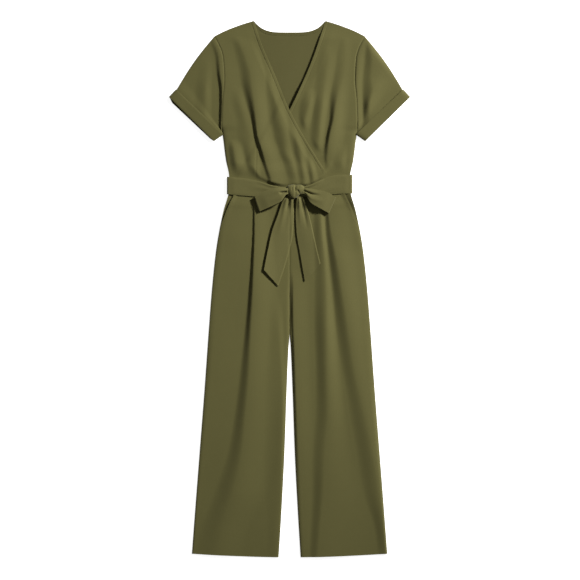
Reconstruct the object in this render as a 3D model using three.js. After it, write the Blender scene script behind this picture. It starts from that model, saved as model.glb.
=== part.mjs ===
import * as THREE from "three";

// A short-sleeved wrap jumpsuit with a tied sash, laid flat on its back. Millimetres, +Z up.
// +Y runs from the hems to the neck, +X is to the right seen from above, and z = 0 is under the back.
// The origin is in the middle of the garment's length and width. Left and right are as seen from above.

// Cloth and seams
const CLOTH = 1.2; // wall of the crepe
const SEAM_GAP = 0.3; // between neighbouring pieces
const LAYER = CLOTH + SEAM_GAP;
const SASH_WALL = 2; // two plies of crepe
const SASH_LAYER = SASH_WALL + SEAM_GAP;
const ARMHOLE_GAP = 0.6; // along the curved armhole seam
const DRAPE_GAP = 0.7; // under a free piece that follows the folds below it

// Levels and corners
const NECK_POINT = { x: 93, y: 697 };
const SHOULDER_POINT = { x: 195, y: 657 };
const NECK_DIP = 28; // depth of the back neck
const UNDERARM = 425;
const WAIST = 262;
const HEM_INSIDE = -697;
const HEM_OUTSIDE = -688;

// Half width of the bodice: armhole seam down to the underarm, then side seam
const BODICE_SIDE = [
  { y: 262, x: 156 },
  { y: 295, x: 157.5 },
  { y: 334, x: 165.5 },
  { y: 376, x: 171 },
  { y: 425, x: 176 },
  { y: 490, x: 174 },
  { y: 545, x: 169.5 },
  { y: 600, x: 172.5 },
  { y: 622, x: 178 },
  { y: 640, x: 186 },
  { y: 657, x: 195 },
];

// Free edge of the front that wraps over, from the waist up to the neck point
const WRAP_EDGE = [
  { y: 262, x: 120 },
  { y: 291, x: 102 },
  { y: 356, x: 61 },
  { y: 413, x: 27 },
  { y: 473, x: -4 },
  { y: 556, x: -38 },
  { y: 634, x: -72 },
  { y: 697, x: -93 },
];

// Side seam and inseam of a trouser leg, as distances from the middle line
const LEG_SIDE = [
  { y: -697, x: 254 },
  { y: -576, x: 245 },
  { y: -420, x: 233 },
  { y: -264, x: 221 },
  { y: -108, x: 210 },
  { y: -4, x: 202 },
  { y: 100, x: 191 },
  { y: 152, x: 182.5 },
  { y: 204, x: 171.5 },
  { y: 243, x: 160 },
  { y: 262, x: 156 },
];
const LEG_INSIDE = [
  { y: -697, x: 28.5 },
  { y: -576, x: 21 },
  { y: -420, x: 13 },
  { y: -264, x: 7.5 },
  { y: -147, x: 2.5 },
  { y: -115, x: SEAM_GAP / 2 },
  { y: 262, x: SEAM_GAP / 2 },
];

// Slash pocket: the opening's edge, and how far the facing runs in under it
const POCKET_EDGE = [
  { y: 165, x: 179 },
  { y: 182, x: 172 },
  { y: 213, x: 160 },
  { y: 242, x: 146 },
  { y: 262, x: 136 },
];
const POCKET_FOOT = 150;
const POCKET_UNDERLAP = 28;
const FACING_CLEAR = 30; // how far before the facing the front has risen onto it
const FACING_RAMP = 14;
const FACING_FOOT_RAMP = 12;

// Pleat of a trouser leg: a steep fold from the waist that opens out below the knee
const PLEAT = [
  { y: -697, x: 196, rise: 0.4 },
  { y: -588, x: 186, rise: 1 },
  { y: -455, x: 147, rise: 2.4 },
  { y: -276, x: 126, rise: 3.2 },
  { y: -94, x: 113, rise: 3.6 },
  { y: 23, x: 103, rise: 3.8 },
  { y: 179, x: 95, rise: 3.4 },
  { y: 262, x: 94, rise: 2.6 },
];
const PLEAT_STEEP = 5; // half width of the steep flank
const PLEAT_SOFT = 46; // width of the soft flank
const LEG_SWELL = 1.4; // lift of the front of a leg between its seams
const LEG_ROLL = 20; // how far in from a seam the front of a leg has risen

// Largest folds of the bodice: a steep flank along the path, and a soft one to its right
const BODICE_FOLDS = [
  { rise: 2.8, steep: 5, soft: 30, path: [{ y: 290, x: -56 }, { y: 403, x: -87 }, { y: 541, x: -113 }] },
  { rise: 1.6, steep: 6, soft: 22, path: [{ y: 290, x: 2 }, { y: 380, x: -18 }, { y: 470, x: -46 }] },
  { rise: 2.8, steep: 5, soft: 34, path: [{ y: 290, x: 86 }, { y: 403, x: 94 }, { y: 545, x: 119 }] },
  { rise: 1.4, steep: 6, soft: 22, path: [{ y: 300, x: 56 }, { y: 400, x: 64 }, { y: 520, x: 72 }] },
];
const BODICE_SWELL = 1.2;
const BODICE_ROLL = { side: 22, shoulder: 60 }; // how far in from those seams a front has risen
const FOLD_FADE = 70; // length over which a fold runs out at its top
const OVERLAP_CLIMB = { start: 44, length: 18 }; // where the front that wraps over climbs onto the other
const WRAP_FLAT = 16; // width of the flat strip inside a free edge
const BARE = { start: 8, length: 20 }; // where the front below comes free of the other

// Sleeve and turned-up cuff, right-hand side: outer and inner ends of the lines across the arm
const SLEEVE_LINE = { outer: { x: 289.5, y: 516 }, inner: { x: 179.5, y: 406 } };
const SLEEVE_END = { outer: { x: 309.5, y: 497.5 }, inner: { x: 198.5, y: 386.5 } };
const CUFF_LINE = { outer: { x: 291, y: 517.5 }, inner: { x: 178, y: 404.5 } };
const CUFF_END = { outer: { x: 312.5, y: 498.5 }, inner: { x: 197.5, y: 383.5 } };
const ARM_STEPS = 10; // points along the armhole seam, on the sleeve and on the bodice
const SHOULDER_BULGE = 4;
const SLEEVE_SWELL = 2.6;
const CUFF_SWELL = 1.4;
const TUBE_ROUND = 0.8; // power of the sine that rounds a flattened sleeve, lower for squarer edges
const SLEEVE_TAPER = 0.3; // how much of its swell a sleeve loses towards the cuff, in parts of a half turn
const CUFF_TUCK = 0.06; // part of the cuff's length at which the sleeve is already under it
const CUFF_FLATTEN = 0.55; // part of its swell that the sleeve loses under the cuff
const TUCK_RAMP = { start: 0.8, length: 0.18 }; // parts of the sleeve over which it climbs towards the cuff
const ROOT_SWELL = { part: 0.3, length: 0.25 }; // part of its swell at the armhole, and where it is full

// Sash: the zone it presses flat, and its edges from the knot out to the sides
const SASH_MIDDLE = 270;
const SASH_PRESS = 31; // half height of the flat zone
const SASH_RAMP = 34;
const SASH_FRONT = 7; // height of the lower face of its front
const SASH_TURN = 158.5; // where it turns round the side
const SASH_JOIN = 16; // middle of the knot
const SASH_EDGES = [
  { x: -158.5, top: 291, bottom: 246 },
  { x: -121, top: 289, bottom: 242.5 },
  { x: -82, top: 286, bottom: 240 },
  { x: -46, top: 279, bottom: 239 },
  { x: -7, top: 266, bottom: 239 },
  { x: 16, top: 264, bottom: 240 },
  { x: 45, top: 268, bottom: 240 },
  { x: 78, top: 282, bottom: 243 },
  { x: 110, top: 294, bottom: 245.5 },
  { x: 143, top: 297, bottom: 248 },
  { x: 158.5, top: 296.5, bottom: 248 },
];

// Bow: heights, then the pieces from the knot outwards
const TAIL_ROOT = SASH_FRONT + SASH_LAYER;
const LOOP_ROOT = TAIL_ROOT + SASH_LAYER + 0.1;
const LOOP_SECTIONS = {
  left: [
    { topX: 4, topY: 261, lowX: 4, lowY: 247, rise: 0.4, drop: 0 },
    { topX: -8, topY: 262, lowX: -8, lowY: 246, rise: 0.6, drop: 0 },
    { topX: -36, topY: 264, lowX: -20, lowY: 230, rise: 5, drop: 0.4 },
    { topX: -64, topY: 255, lowX: -46, lowY: 217, rise: 5, drop: 1.4 },
    { topX: -88, topY: 241, lowX: -75, lowY: 206, rise: 1, drop: 2 },
  ],
  right: [
    { topX: 28, topY: 261, lowX: 28, lowY: 247, rise: 0.4, drop: 0 },
    { topX: 40, topY: 261, lowX: 40, lowY: 246, rise: 0.6, drop: 0 },
    { topX: 68, topY: 256, lowX: 54, lowY: 225, rise: 5, drop: 0.4 },
    { topX: 98, topY: 250, lowX: 76, lowY: 211, rise: 5, drop: 1.4 },
    { topX: 118, topY: 239, lowX: 100, lowY: 199, rise: 1, drop: 2 },
  ],
};
const TAIL_SECTIONS = {
  left: [
    { leftX: -10, leftY: 242, rightX: 12, rightY: 242 },
    { leftX: -21, leftY: 228, rightX: 10, rightY: 228 },
    { leftX: -33, leftY: 190, rightX: 6.5, rightY: 190 },
    { leftX: -46, leftY: 148, rightX: 4.5, rightY: 143 },
    { leftX: -57, leftY: 97, rightX: -4, rightY: 92 },
    { leftX: -62, leftY: 73, rightX: -13, rightY: 56 },
    { leftX: -66.5, leftY: 50, rightX: -29.5, rightY: 7.5 },
  ],
  right: [
    { leftX: 18, leftY: 242, rightX: 38, rightY: 242 },
    { leftX: 14.5, leftY: 226, rightX: 45, rightY: 228 },
    { leftX: 15.5, leftY: 195, rightX: 51, rightY: 200 },
    { leftX: 18, leftY: 148, rightX: 61, rightY: 150 },
    { leftX: 28, leftY: 88, rightX: 71, rightY: 105 },
    { leftX: 39.5, leftY: 20, rightX: 80.5, rightY: 66 },
  ],
};
const TAIL_ARCH = 1.6; // lift of the middle of a tail between its edges
const TAIL_CLIMB = { foot: 204, length: 27 }; // where a tail climbs from the trousers to the knot
const LOOP_BEND = Math.PI / 5; // turn of the two creases that close the end of a loop
const LOOP_EDGE = 0.75; // height of a loop at its edges, as a part of its height in the middle
const KNOT_ROUND = 0.75; // power of the sine that rounds the knot
const KNOT_SECTIONS = [
  { x: -6, top: 269, bottom: 237, crown: 19.5 },
  { x: 0, top: 270.5, bottom: 235, crown: 21.5 },
  { x: 8, top: 271, bottom: 234, crown: 22.5 },
  { x: 14, top: 270, bottom: 235, crown: 22 },
  { x: 18, top: 269, bottom: 237, crown: 20.5 },
  { x: 23, top: 270.5, bottom: 239, crown: 22 },
  { x: 31, top: 270, bottom: 239, crown: 21.5 },
  { x: 38, top: 268.5, bottom: 238, crown: 19.5 },
];

const CREPE = new THREE.MeshStandardMaterial({ color: 0x5f5b38, roughness: 0.86, metalness: 0 });
const SASH_CREPE = new THREE.MeshStandardMaterial({ color: 0x605c39, roughness: 0.84, metalness: 0 });

// Small functions

const mix = (from, to, part) => from + (to - from) * part;
const steps = (count) => Array.from({ length: count + 1 }, (_, index) => index / count);

// 0 below zero, 1 above one, and a soft rise between
function ease(value) {
  const part = Math.min(1, Math.max(0, value));
  return part * part * (3 - 2 * part);
}

// One column of a table at a place along it, on a curve that keeps between its rows
function read(table, at, column = "x", place = "y") {
  const last = table.length - 1;
  const spot = Math.min(table[last][place], Math.max(table[0][place], at));
  let row = 0;
  while (row < last - 1 && spot > table[row + 1][place]) row += 1;
  const rise = (index) =>
    (table[index + 1][column] - table[index][column]) / (table[index + 1][place] - table[index][place]);
  const slope = (index) => {
    if (index === 0) return rise(0);
    if (index === last) return rise(last - 1);
    const before = rise(index - 1);
    const after = rise(index);
    return before * after <= 0 ? 0 : (2 * before * after) / (before + after);
  };
  const length = table[row + 1][place] - table[row][place];
  const part = (spot - table[row][place]) / length;
  const square = part * part;
  const cube = square * part;
  return (
    (2 * cube - 3 * square + 1) * table[row][column] +
    (cube - 2 * square + part) * length * slope(row) +
    (3 * square - 2 * cube) * table[row + 1][column] +
    (cube - square) * length * slope(row + 1)
  );
}

// Values at evenly spaced parts of each stretch between the stops
function spread(stops, counts) {
  const values = [stops[0]];
  counts.forEach((count, index) => {
    for (let step = 1; step <= count; step += 1) {
      values.push(mix(stops[index], stops[index + 1], step / count));
    }
  });
  return values;
}

// A closed wall between two grids of points, with its rim. A ringed wall joins its last column to its first.
function wall(inner, outer, ringed = false) {
  const rows = inner.length;
  const across = inner[0].length;
  const layer = rows * across;
  const columns = ringed ? across : across - 1;
  const points = [...inner.flat(), ...outer.flat()];
  const positions = points.flatMap((point) => [point.x, point.y, point.z]);
  const at = (row, column) => row * across + (column % across);
  const faces = [];
  const quad = (a, b, c, d) => faces.push(a, b, c, a, c, d);
  for (let row = 0; row < rows - 1; row += 1) {
    for (let column = 0; column < columns; column += 1) {
      const corners = [at(row, column), at(row, column + 1), at(row + 1, column + 1), at(row + 1, column)];
      const [a, b, c, d] = corners;
      quad(a + layer, b + layer, c + layer, d + layer);
      quad(d, c, b, a);
    }
  }
  for (let column = 0; column < columns; column += 1) {
    const [a, b] = [at(0, column), at(0, column + 1)];
    const [d, c] = [at(rows - 1, column), at(rows - 1, column + 1)];
    quad(a, b, b + layer, a + layer);
    quad(d + layer, c + layer, c, d);
  }
  if (!ringed) {
    for (let row = 0; row < rows - 1; row += 1) {
      const [a, d] = [at(row, 0), at(row + 1, 0)];
      const [b, c] = [at(row, across - 1), at(row + 1, across - 1)];
      quad(a + layer, d + layer, d, a);
      quad(c + layer, b + layer, b, c);
    }
  }
  return facingOut(positions, faces);
}

// The mesh of these points and faces, turned so that its faces point out
function facingOut(positions, faces) {
  const point = (index) => new THREE.Vector3().fromArray(positions, index * 3);
  let volume = 0;
  for (let face = 0; face < faces.length; face += 3) {
    const [a, b, c] = [faces[face], faces[face + 1], faces[face + 2]].map(point);
    volume += a.dot(b.cross(c));
  }
  const geometry = new THREE.BufferGeometry();
  geometry.setAttribute("position", new THREE.Float32BufferAttribute(positions, 3));
  geometry.setIndex(volume < 0 ? faces.reverse() : faces);
  geometry.computeVertexNormals();
  return geometry;
}

// A sheet of cloth over the points of its lower face
function sheet(lower, thickness = CLOTH) {
  return wall(lower, lower.map((row) => row.map((point) => ({ ...point, z: point.z + thickness }))));
}

// A flattened tube through sections of points that give its lower and upper faces
function flatTube(sections) {
  const ring = (section, inset) => {
    const first = section[0];
    const last = section[section.length - 1];
    const length = Math.hypot(last.x - first.x, last.y - first.y);
    const along = { x: (last.x - first.x) / length, y: (last.y - first.y) / length };
    const moved = (point, distance, z) => ({
      x: point.x + along.x * distance,
      y: point.y + along.y * distance,
      z,
    });
    const shoulder = inset + CLOTH / 2;
    const reach = section.map((_, index) => {
      if (index === 0) return shoulder;
      return index === section.length - 1 ? -shoulder : 0;
    });
    const upper = section.map((point, index) => moved(point, reach[index], point.high - inset));
    const lower = section.map((point, index) => moved(point, reach[index], point.low + inset));
    const fold = (point, distance) => moved(point, distance, (point.high + point.low) / 2);
    return [fold(first, inset), ...upper, fold(last, -inset), ...lower.reverse()];
  };
  const rings = (inset) => sections.map((section) => ring(section, inset));
  return wall(rings(CLOTH), rings(0), true);
}

// Heights of the layers

// 1 under the sash, where all layers are pressed flat, and 0 away from it
const press = (y) => 1 - ease((Math.abs(y - SASH_MIDDLE) - SASH_PRESS) / SASH_RAMP);
const backHeight = (y) => press(y) * SASH_LAYER;

// A fold that rises steeply at its path and falls softly to the right of it, or to the left when mirrored
function foldHeight(distance, rise, steep, soft) {
  return rise * ease((distance + steep) / (2 * steep)) * (1 - ease((distance - steep) / soft));
}

function bodiceRelief(x, y) {
  const fromSide = read(BODICE_SIDE, y) - Math.abs(x);
  const inside = ease(fromSide / BODICE_ROLL.side) * ease((SHOULDER_POINT.y - y) / BODICE_ROLL.shoulder);
  const folds = BODICE_FOLDS.map((fold) => {
    const fade = ease((fold.path.at(-1).y - y) / FOLD_FADE);
    return fade * foldHeight(x - read(fold.path, y), fold.rise, fold.steep, fold.soft);
  });
  return inside * (1 - press(y)) * (BODICE_SWELL + folds.reduce((sum, height) => sum + height, 0));
}

// The front that wraps over climbs onto the one below, and its free edge lies flat
function overHeight(x, y) {
  const edge = read(WRAP_EDGE, y);
  const climb = LAYER * ease((x + edge + OVERLAP_CLIMB.start) / OVERLAP_CLIMB.length);
  return backHeight(y) + LAYER + climb + bodiceRelief(x, y) * ease((edge - x) / WRAP_FLAT);
}

// The front below has folds only where the other one leaves it bare
function underHeight(x, y) {
  const bare = ease((x - read(WRAP_EDGE, y) - BARE.start) / BARE.length);
  return backHeight(y) + LAYER + bodiceRelief(x, y) * bare;
}

// Lower face of a trouser front, with x measured outwards from the middle line
function legFrontHeight(x, y) {
  const side = read(LEG_SIDE, y);
  const inside = read(LEG_INSIDE, y);
  const past = x - read(POCKET_EDGE, y) + POCKET_UNDERLAP + FACING_CLEAR;
  const above = y - POCKET_FOOT + FACING_FOOT_RAMP;
  const facing = ease(past / FACING_RAMP) * ease(above / FACING_FOOT_RAMP);
  const between = ease((side - x) / LEG_ROLL) * ease((x - inside) / LEG_ROLL);
  const pleat = foldHeight(read(PLEAT, y) - x, read(PLEAT, y, "rise"), PLEAT_STEEP, PLEAT_SOFT);
  return backHeight(y) + LAYER + LAYER * facing + (1 - press(y)) * between * (LEG_SWELL + pleat);
}

// Bodice

// Parts of the way up from the waist seam to the shoulder, with ARM_STEPS rows along the armhole
const WAIST_SEAM = WAIST + SEAM_GAP / 2;
const PRESS_HEAD = SASH_MIDDLE + SASH_PRESS + SASH_RAMP;
const bodiceRows = spread([WAIST_SEAM, PRESS_HEAD, UNDERARM, SHOULDER_POINT.y], [5, 4, ARM_STEPS]).map(
  (level) => (level - WAIST_SEAM) / (SHOULDER_POINT.y - WAIST_SEAM),
);

// Where a line at this part of the way from the side to the free edge meets the shoulder seam
function shoulderLevel(part) {
  const rise = NECK_POINT.y - SHOULDER_POINT.y;
  const seam = (y) => mix(SHOULDER_POINT.x, NECK_POINT.x, (y - SHOULDER_POINT.y) / rise);
  let [low, high] = [SHOULDER_POINT.y, NECK_POINT.y];
  for (let round = 0; round < 30; round += 1) {
    const middle = (low + high) / 2;
    if (seam(middle) > mix(SHOULDER_POINT.x, -read(WRAP_EDGE, middle), part)) low = middle;
    else high = middle;
  }
  return (low + high) / 2;
}

// A front, from the waist up to the shoulder seam. The side is -1 for the left front and 1 for the
// right one.
function bodiceFront(side, height) {
  const parts = steps(11);
  const tops = parts.map(shoulderLevel);
  return sheet(
    bodiceRows.map((up) =>
      parts.map((part, index) => {
        const y = mix(WAIST_SEAM, tops[index], up);
        const x = side * mix(read(BODICE_SIDE, y), -read(WRAP_EDGE, y), part);
        return { x, y, z: height(x, y) };
      }),
    ),
  );
}

function bodiceBack() {
  const neckPart = NECK_POINT.x / SHOULDER_POINT.x;
  const columns = spread([-1, -neckPart, neckPart, 1], [2, 6, 2]);
  return sheet(
    bodiceRows.map((up) =>
      columns.map((part) => {
        const reach = Math.abs(part) * SHOULDER_POINT.x;
        const shoulder = (reach - NECK_POINT.x) / (SHOULDER_POINT.x - NECK_POINT.x);
        const dip = NECK_DIP * (1 - (reach / NECK_POINT.x) ** 2);
        const top = shoulder > 0 ? mix(NECK_POINT.y, SHOULDER_POINT.y, shoulder) : NECK_POINT.y - dip;
        const y = mix(WAIST_SEAM, top, up);
        return { x: part * read(BODICE_SIDE, y), y, z: backHeight(y) };
      }),
    ),
  );
}

// Sleeves and cuffs

const lerpPoint = (from, to, part) => ({ x: mix(from.x, to.x, part), y: mix(from.y, to.y, part) });

const tubeSwell = (part) => Math.sin(Math.PI * part) ** TUBE_ROUND;

function sleeve(side) {
  const across = steps(ARM_STEPS);
  const arms = steps(5).map((part) => ({ arm: part, cuff: 0 }));
  const along = [...arms, { arm: 1, cuff: CUFF_TUCK }, { arm: 1, cuff: 1 }];
  const sections = along.map(({ arm, cuff }) =>
    across.map((part) => {
      const y = mix(SHOULDER_POINT.y, UNDERARM, part);
      const seam = { x: read(BODICE_SIDE, y) + ARMHOLE_GAP, y };
      const line = lerpPoint(SLEEVE_LINE.outer, SLEEVE_LINE.inner, part);
      const end = lerpPoint(SLEEVE_END.outer, SLEEVE_END.inner, part);
      const bulge = SHOULDER_BULGE * Math.sin(Math.PI * arm) * (1 - part) ** 2;
      const point = lerpPoint(lerpPoint(seam, line, arm), end, cuff);
      const lift = LAYER * ease((arm - TUCK_RAMP.start) / TUCK_RAMP.length);
      const taper = Math.sin(Math.PI * (0.5 + arm * SLEEVE_TAPER)) * (1 - CUFF_FLATTEN * cuff);
      const puff = SLEEVE_SWELL * tubeSwell(part) * taper;
      const rooted = mix(ROOT_SWELL.part, 1, ease(arm / ROOT_SWELL.length));
      return {
        x: side * (point.x + bulge * 0.7),
        y: point.y + bulge * 0.7,
        low: lift,
        high: lift + 2 * CLOTH + SEAM_GAP + puff * rooted,
      };
    }),
  );
  return flatTube(sections);
}

function cuff(side) {
  const across = steps(ARM_STEPS);
  const sections = steps(2).map((down) =>
    across.map((part) => {
      const line = lerpPoint(CUFF_LINE.outer, CUFF_LINE.inner, part);
      const end = lerpPoint(CUFF_END.outer, CUFF_END.inner, part);
      const point = lerpPoint(line, end, down);
      const puff = (SLEEVE_SWELL + CUFF_SWELL * (1 - down)) * tubeSwell(part);
      return { x: side * point.x, y: point.y, low: 0, high: 2 * LAYER + 2 * CLOTH + SEAM_GAP + puff };
    }),
  );
  return flatTube(sections);
}

// Trousers

// Levels from the waist past the zone that the sash presses to the hem, shared by the layers of a leg
const PRESS_FOOT = SASH_MIDDLE - SASH_PRESS - SASH_RAMP;
const legLevels = spread([WAIST - SEAM_GAP / 2, PRESS_FOOT, POCKET_FOOT, HEM_INSIDE], [5, 3, 19]);

// The hem is a little higher at the side seam than at the inseam, and the rows above it follow
const hemLift = (level, across) =>
  ((WAIST - level) / (WAIST - HEM_INSIDE)) * (HEM_OUTSIDE - HEM_INSIDE) * across ** 1.6;

function legFront(side) {
  return sheet(
    legLevels.map((level) => {
      const pocket = level > POCKET_EDGE[0].y;
      const edge = pocket ? read(POCKET_EDGE, level) : read(LEG_SIDE, level);
      const pleat = read(PLEAT, level);
      const stops = [read(LEG_INSIDE, level), pleat - PLEAT_STEEP, pleat + PLEAT_STEEP, edge];
      return spread(stops, [5, 2, 4]).map((x) => {
        const y = level + hemLift(level, (x - stops[0]) / (edge - stops[0]));
        return { x: side * x, y, z: legFrontHeight(x, y) };
      });
    }),
  );
}

function legBack(side) {
  return sheet(
    legLevels.map((level) => {
      const [inside, outside] = [read(LEG_INSIDE, level), read(LEG_SIDE, level)];
      return steps(4).map((across) => {
        const y = level + hemLift(level, across);
        return { x: side * mix(inside, outside, across), y, z: backHeight(y) };
      });
    }),
  );
}

function pocketFacing(side) {
  return sheet(
    legLevels.filter((level) => level > POCKET_FOOT - 1).map((y) => {
      const inside = read(POCKET_EDGE, y) - POCKET_UNDERLAP;
      return steps(3).map((across) => {
        const x = mix(inside, read(LEG_SIDE, y), across);
        return { x: side * x, y, z: backHeight(y) + LAYER };
      });
    }),
  );
}

// Sash

// The band runs from the knot round one side, under the back, round the other side and back to the knot
function sashBand() {
  const front = SASH_FRONT;
  const turn = (front - SASH_WALL) / 2;
  const middle = (front + SASH_WALL) / 2;
  const path = [];
  const straight = (from, to, count, inner, outer) =>
    steps(count).forEach((part) => path.push({ x: mix(from, to, part), inner, outer, out: 0 }));
  const bend = (side, from) =>
    [1, 2, 3, 4].forEach((step) => {
      const angle = from + (side * step * Math.PI) / 5;
      path.push({ x: side * SASH_TURN, angle, side });
    });
  straight(SASH_JOIN - SEAM_GAP / 2, -SASH_TURN, 9, front, front + SASH_WALL);
  bend(-1, Math.PI / 2);
  straight(-SASH_TURN, SASH_TURN, 8, SASH_WALL, 0);
  bend(1, -Math.PI / 2);
  straight(SASH_TURN, SASH_JOIN + SEAM_GAP / 2, 9, front, front + SASH_WALL);
  const face = (radius, key) =>
    path.map((stop) => {
      const round = stop.angle !== undefined;
      const straightAcross = round || stop.inner === SASH_WALL;
      const edge = (key) => {
        if (!straightAcross) return read(SASH_EDGES, stop.x, key, "x");
        const across = (stop.x + SASH_TURN) / (2 * SASH_TURN);
        return mix(SASH_EDGES[0][key], SASH_EDGES.at(-1)[key], across);
      };
      const [top, bottom] = [edge("top"), edge("bottom")];
      const x = round ? stop.x + stop.side * Math.abs(Math.cos(stop.angle)) * radius : stop.x;
      const z = round ? middle + Math.sin(stop.angle) * radius : stop[key];
      return steps(2).map((part) => ({ x, y: mix(top, bottom, part), z }));
    });
  return wall(face(turn, "inner"), face(turn + SASH_WALL, "outer"));
}

// A loop of the bow: a strip that runs out from the knot, turns at its tip and comes back on top
function sashLoop(sections) {
  const numbered = sections.map((section, index) => ({ ...section, at: index }));
  const last = sections.length - 1;
  const section = (at) => {
    const value = (column) => read(numbered, at, column, "at");
    return {
      top: { x: value("topX"), y: value("topY") },
      low: { x: value("lowX"), y: value("lowY") },
      rise: value("rise"),
      drop: value("drop"),
    };
  };
  const tip = section(last);
  const before = section(last - 1);
  const heading = new THREE.Vector2(
    tip.top.x + tip.low.x - before.top.x - before.low.x,
    tip.top.y + tip.low.y - before.top.y - before.low.y,
  ).normalize();
  const across = steps(4);
  const inner = [];
  const outer = [];
  const row = (place, z, reach) =>
    across.map((part) => {
      const point = lerpPoint(place.top, place.low, part);
      return { x: point.x + heading.x * reach, y: point.y + heading.y * reach, z };
    });
  const base = (place) => LOOP_ROOT - place.drop;
  spread([0, last], [8]).forEach((at) => {
    const place = section(at);
    inner.push(row(place, base(place) + SASH_WALL, 0));
    outer.push(row(place, base(place), 0));
  });
  const radius = tip.rise / 2;
  const outerRadius = radius + SASH_WALL;
  const centre = base(tip) + SASH_WALL + radius;
  [-LOOP_BEND, LOOP_BEND].forEach((angle) => {
    inner.push(row(tip, centre + radius * Math.sin(angle), radius * Math.cos(angle)));
    outer.push(row(tip, centre + outerRadius * Math.sin(angle), outerRadius * Math.cos(angle)));
  });
  spread([last, 0], [8]).forEach((at) => {
    const place = section(at);
    const crest = across.map((part) => place.rise * mix(LOOP_EDGE, 1, Math.sin(Math.PI * part)));
    const lift = (points, z) => points.map((point, index) => ({ ...point, z: z + crest[index] }));
    inner.push(lift(row(place, 0, 0), base(place) + SASH_WALL));
    outer.push(lift(row(place, 0, 0), base(place) + 2 * SASH_WALL));
  });
  return wall(inner, outer);
}

// A tail of the bow lies on the trouser fronts and climbs onto the band under the knot
function sashTail(sections) {
  const numbered = sections.map((section, index) => ({ ...section, at: index }));
  const rows = spread([0, sections.length - 1], [15]).map((at) => {
    const value = (column) => read(numbered, at, column, "at");
    return steps(4).map((part) => {
      const x = mix(value("leftX"), value("rightX"), part);
      const y = mix(value("leftY"), value("rightY"), part);
      const arch = TAIL_ARCH * Math.sin(Math.PI * part);
      const lying = legFrontHeight(Math.abs(x), y) + CLOTH + DRAPE_GAP + arch;
      return { x, y, z: mix(lying, TAIL_ROOT, ease((y - TAIL_CLIMB.foot) / TAIL_CLIMB.length)) };
    });
  });
  return sheet(rows, SASH_WALL);
}

// The knot is a turn of the strip over the roots of the loops and tails
function sashKnot() {
  const face = (inset) =>
    spread([KNOT_SECTIONS[0].x, KNOT_SECTIONS.at(-1).x], [10]).map((x) => {
      const value = (column) => read(KNOT_SECTIONS, x, column, "x");
      const middle = (value("top") + value("bottom")) / 2;
      const half = (value("top") - value("bottom")) / 2 - inset;
      return steps(8).map((part) => {
        const foot = mix(TAIL_ROOT, LOOP_ROOT, part);
        const angle = Math.PI * part;
        const z = mix(foot, value("crown") - inset, Math.sin(angle) ** KNOT_ROUND);
        return { x, y: middle + half * Math.cos(angle), z };
      });
    });
  return wall(face(SASH_WALL), face(0));
}

// The jumpsuit

const jumpsuit = new THREE.Group();

function add(name, geometry, material) {
  const mesh = new THREE.Mesh(geometry, material);
  mesh.name = name;
  jumpsuit.add(mesh);
}

add("bodice_back", bodiceBack(), CREPE);
add("bodice_front_under", bodiceFront(1, underHeight), CREPE);
add("bodice_front_over", bodiceFront(-1, overHeight), CREPE);
[["left", -1], ["right", 1]].forEach(([hand, side]) => {
  add(`sleeve_${hand}`, sleeve(side), CREPE);
  add(`cuff_${hand}`, cuff(side), CREPE);
  add(`leg_back_${hand}`, legBack(side), CREPE);
  add(`leg_front_${hand}`, legFront(side), CREPE);
  add(`pocket_facing_${hand}`, pocketFacing(side), CREPE);
  add(`sash_loop_${hand}`, sashLoop(LOOP_SECTIONS[hand]), SASH_CREPE);
  add(`sash_tail_${hand}`, sashTail(TAIL_SECTIONS[hand]), SASH_CREPE);
});
add("sash_band", sashBand(), SASH_CREPE);
add("sash_knot", sashKnot(), SASH_CREPE);

export default jumpsuit;
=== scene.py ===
import math

import bpy
import numpy as np
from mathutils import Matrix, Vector


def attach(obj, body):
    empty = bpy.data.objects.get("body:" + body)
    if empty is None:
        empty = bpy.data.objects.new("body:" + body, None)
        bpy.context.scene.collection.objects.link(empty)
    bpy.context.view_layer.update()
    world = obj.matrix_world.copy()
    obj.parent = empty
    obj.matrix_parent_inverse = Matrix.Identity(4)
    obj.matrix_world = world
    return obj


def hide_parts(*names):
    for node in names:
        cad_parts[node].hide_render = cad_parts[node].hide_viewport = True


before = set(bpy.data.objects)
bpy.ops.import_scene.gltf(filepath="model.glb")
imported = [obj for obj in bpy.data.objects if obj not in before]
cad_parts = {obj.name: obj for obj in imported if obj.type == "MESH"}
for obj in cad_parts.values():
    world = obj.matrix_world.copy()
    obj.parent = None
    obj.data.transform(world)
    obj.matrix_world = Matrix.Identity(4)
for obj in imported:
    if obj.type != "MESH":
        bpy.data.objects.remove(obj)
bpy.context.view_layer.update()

# Floor, light and camera.
# The garment lies on a plain white table, seen from straight above. A soft lamp stands up and to the right,
# nearer to the neck than to the hems, and a pale sky fills the shadows.
VIEW_SIDE = 1.508  # side of the square that the camera sees
VIEW_CENTRE = (0.001, -0.0026)
CAMERA_HEIGHT = 6.0
CAMERA_REACH = 100
SENSOR = 36.0
LAMP_PLACE = Vector((4.24, 3.25, 3.07))
LAMP_AIM = Vector((0.0, 0.12, 0.0))
LAMP_SIZE = 0.9
LAMP_SPREAD = 55
LAMP_POWER = 62.8
LAMP_COLOUR = (1.0, 0.985, 0.96)
SKY_STRENGTH = 0.13
FLOOR_LOOK = {
    "Base Color": (0.93, 0.93, 0.93, 1),
    "Roughness": 0.9,
    "Emission Color": (1, 1, 1, 1),
    "Emission Strength": 0.85,
}
FLOOR_SIDE = 40


def set_inputs(shader, values):
    """Even values on the sockets of a shader."""
    for socket, value in values.items():
        shader.inputs[socket].default_value = value


def add_object(name, data):
    """A new object in the scene."""
    made = bpy.data.objects.new(name, data)
    bpy.context.collection.objects.link(made)
    return made


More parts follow.
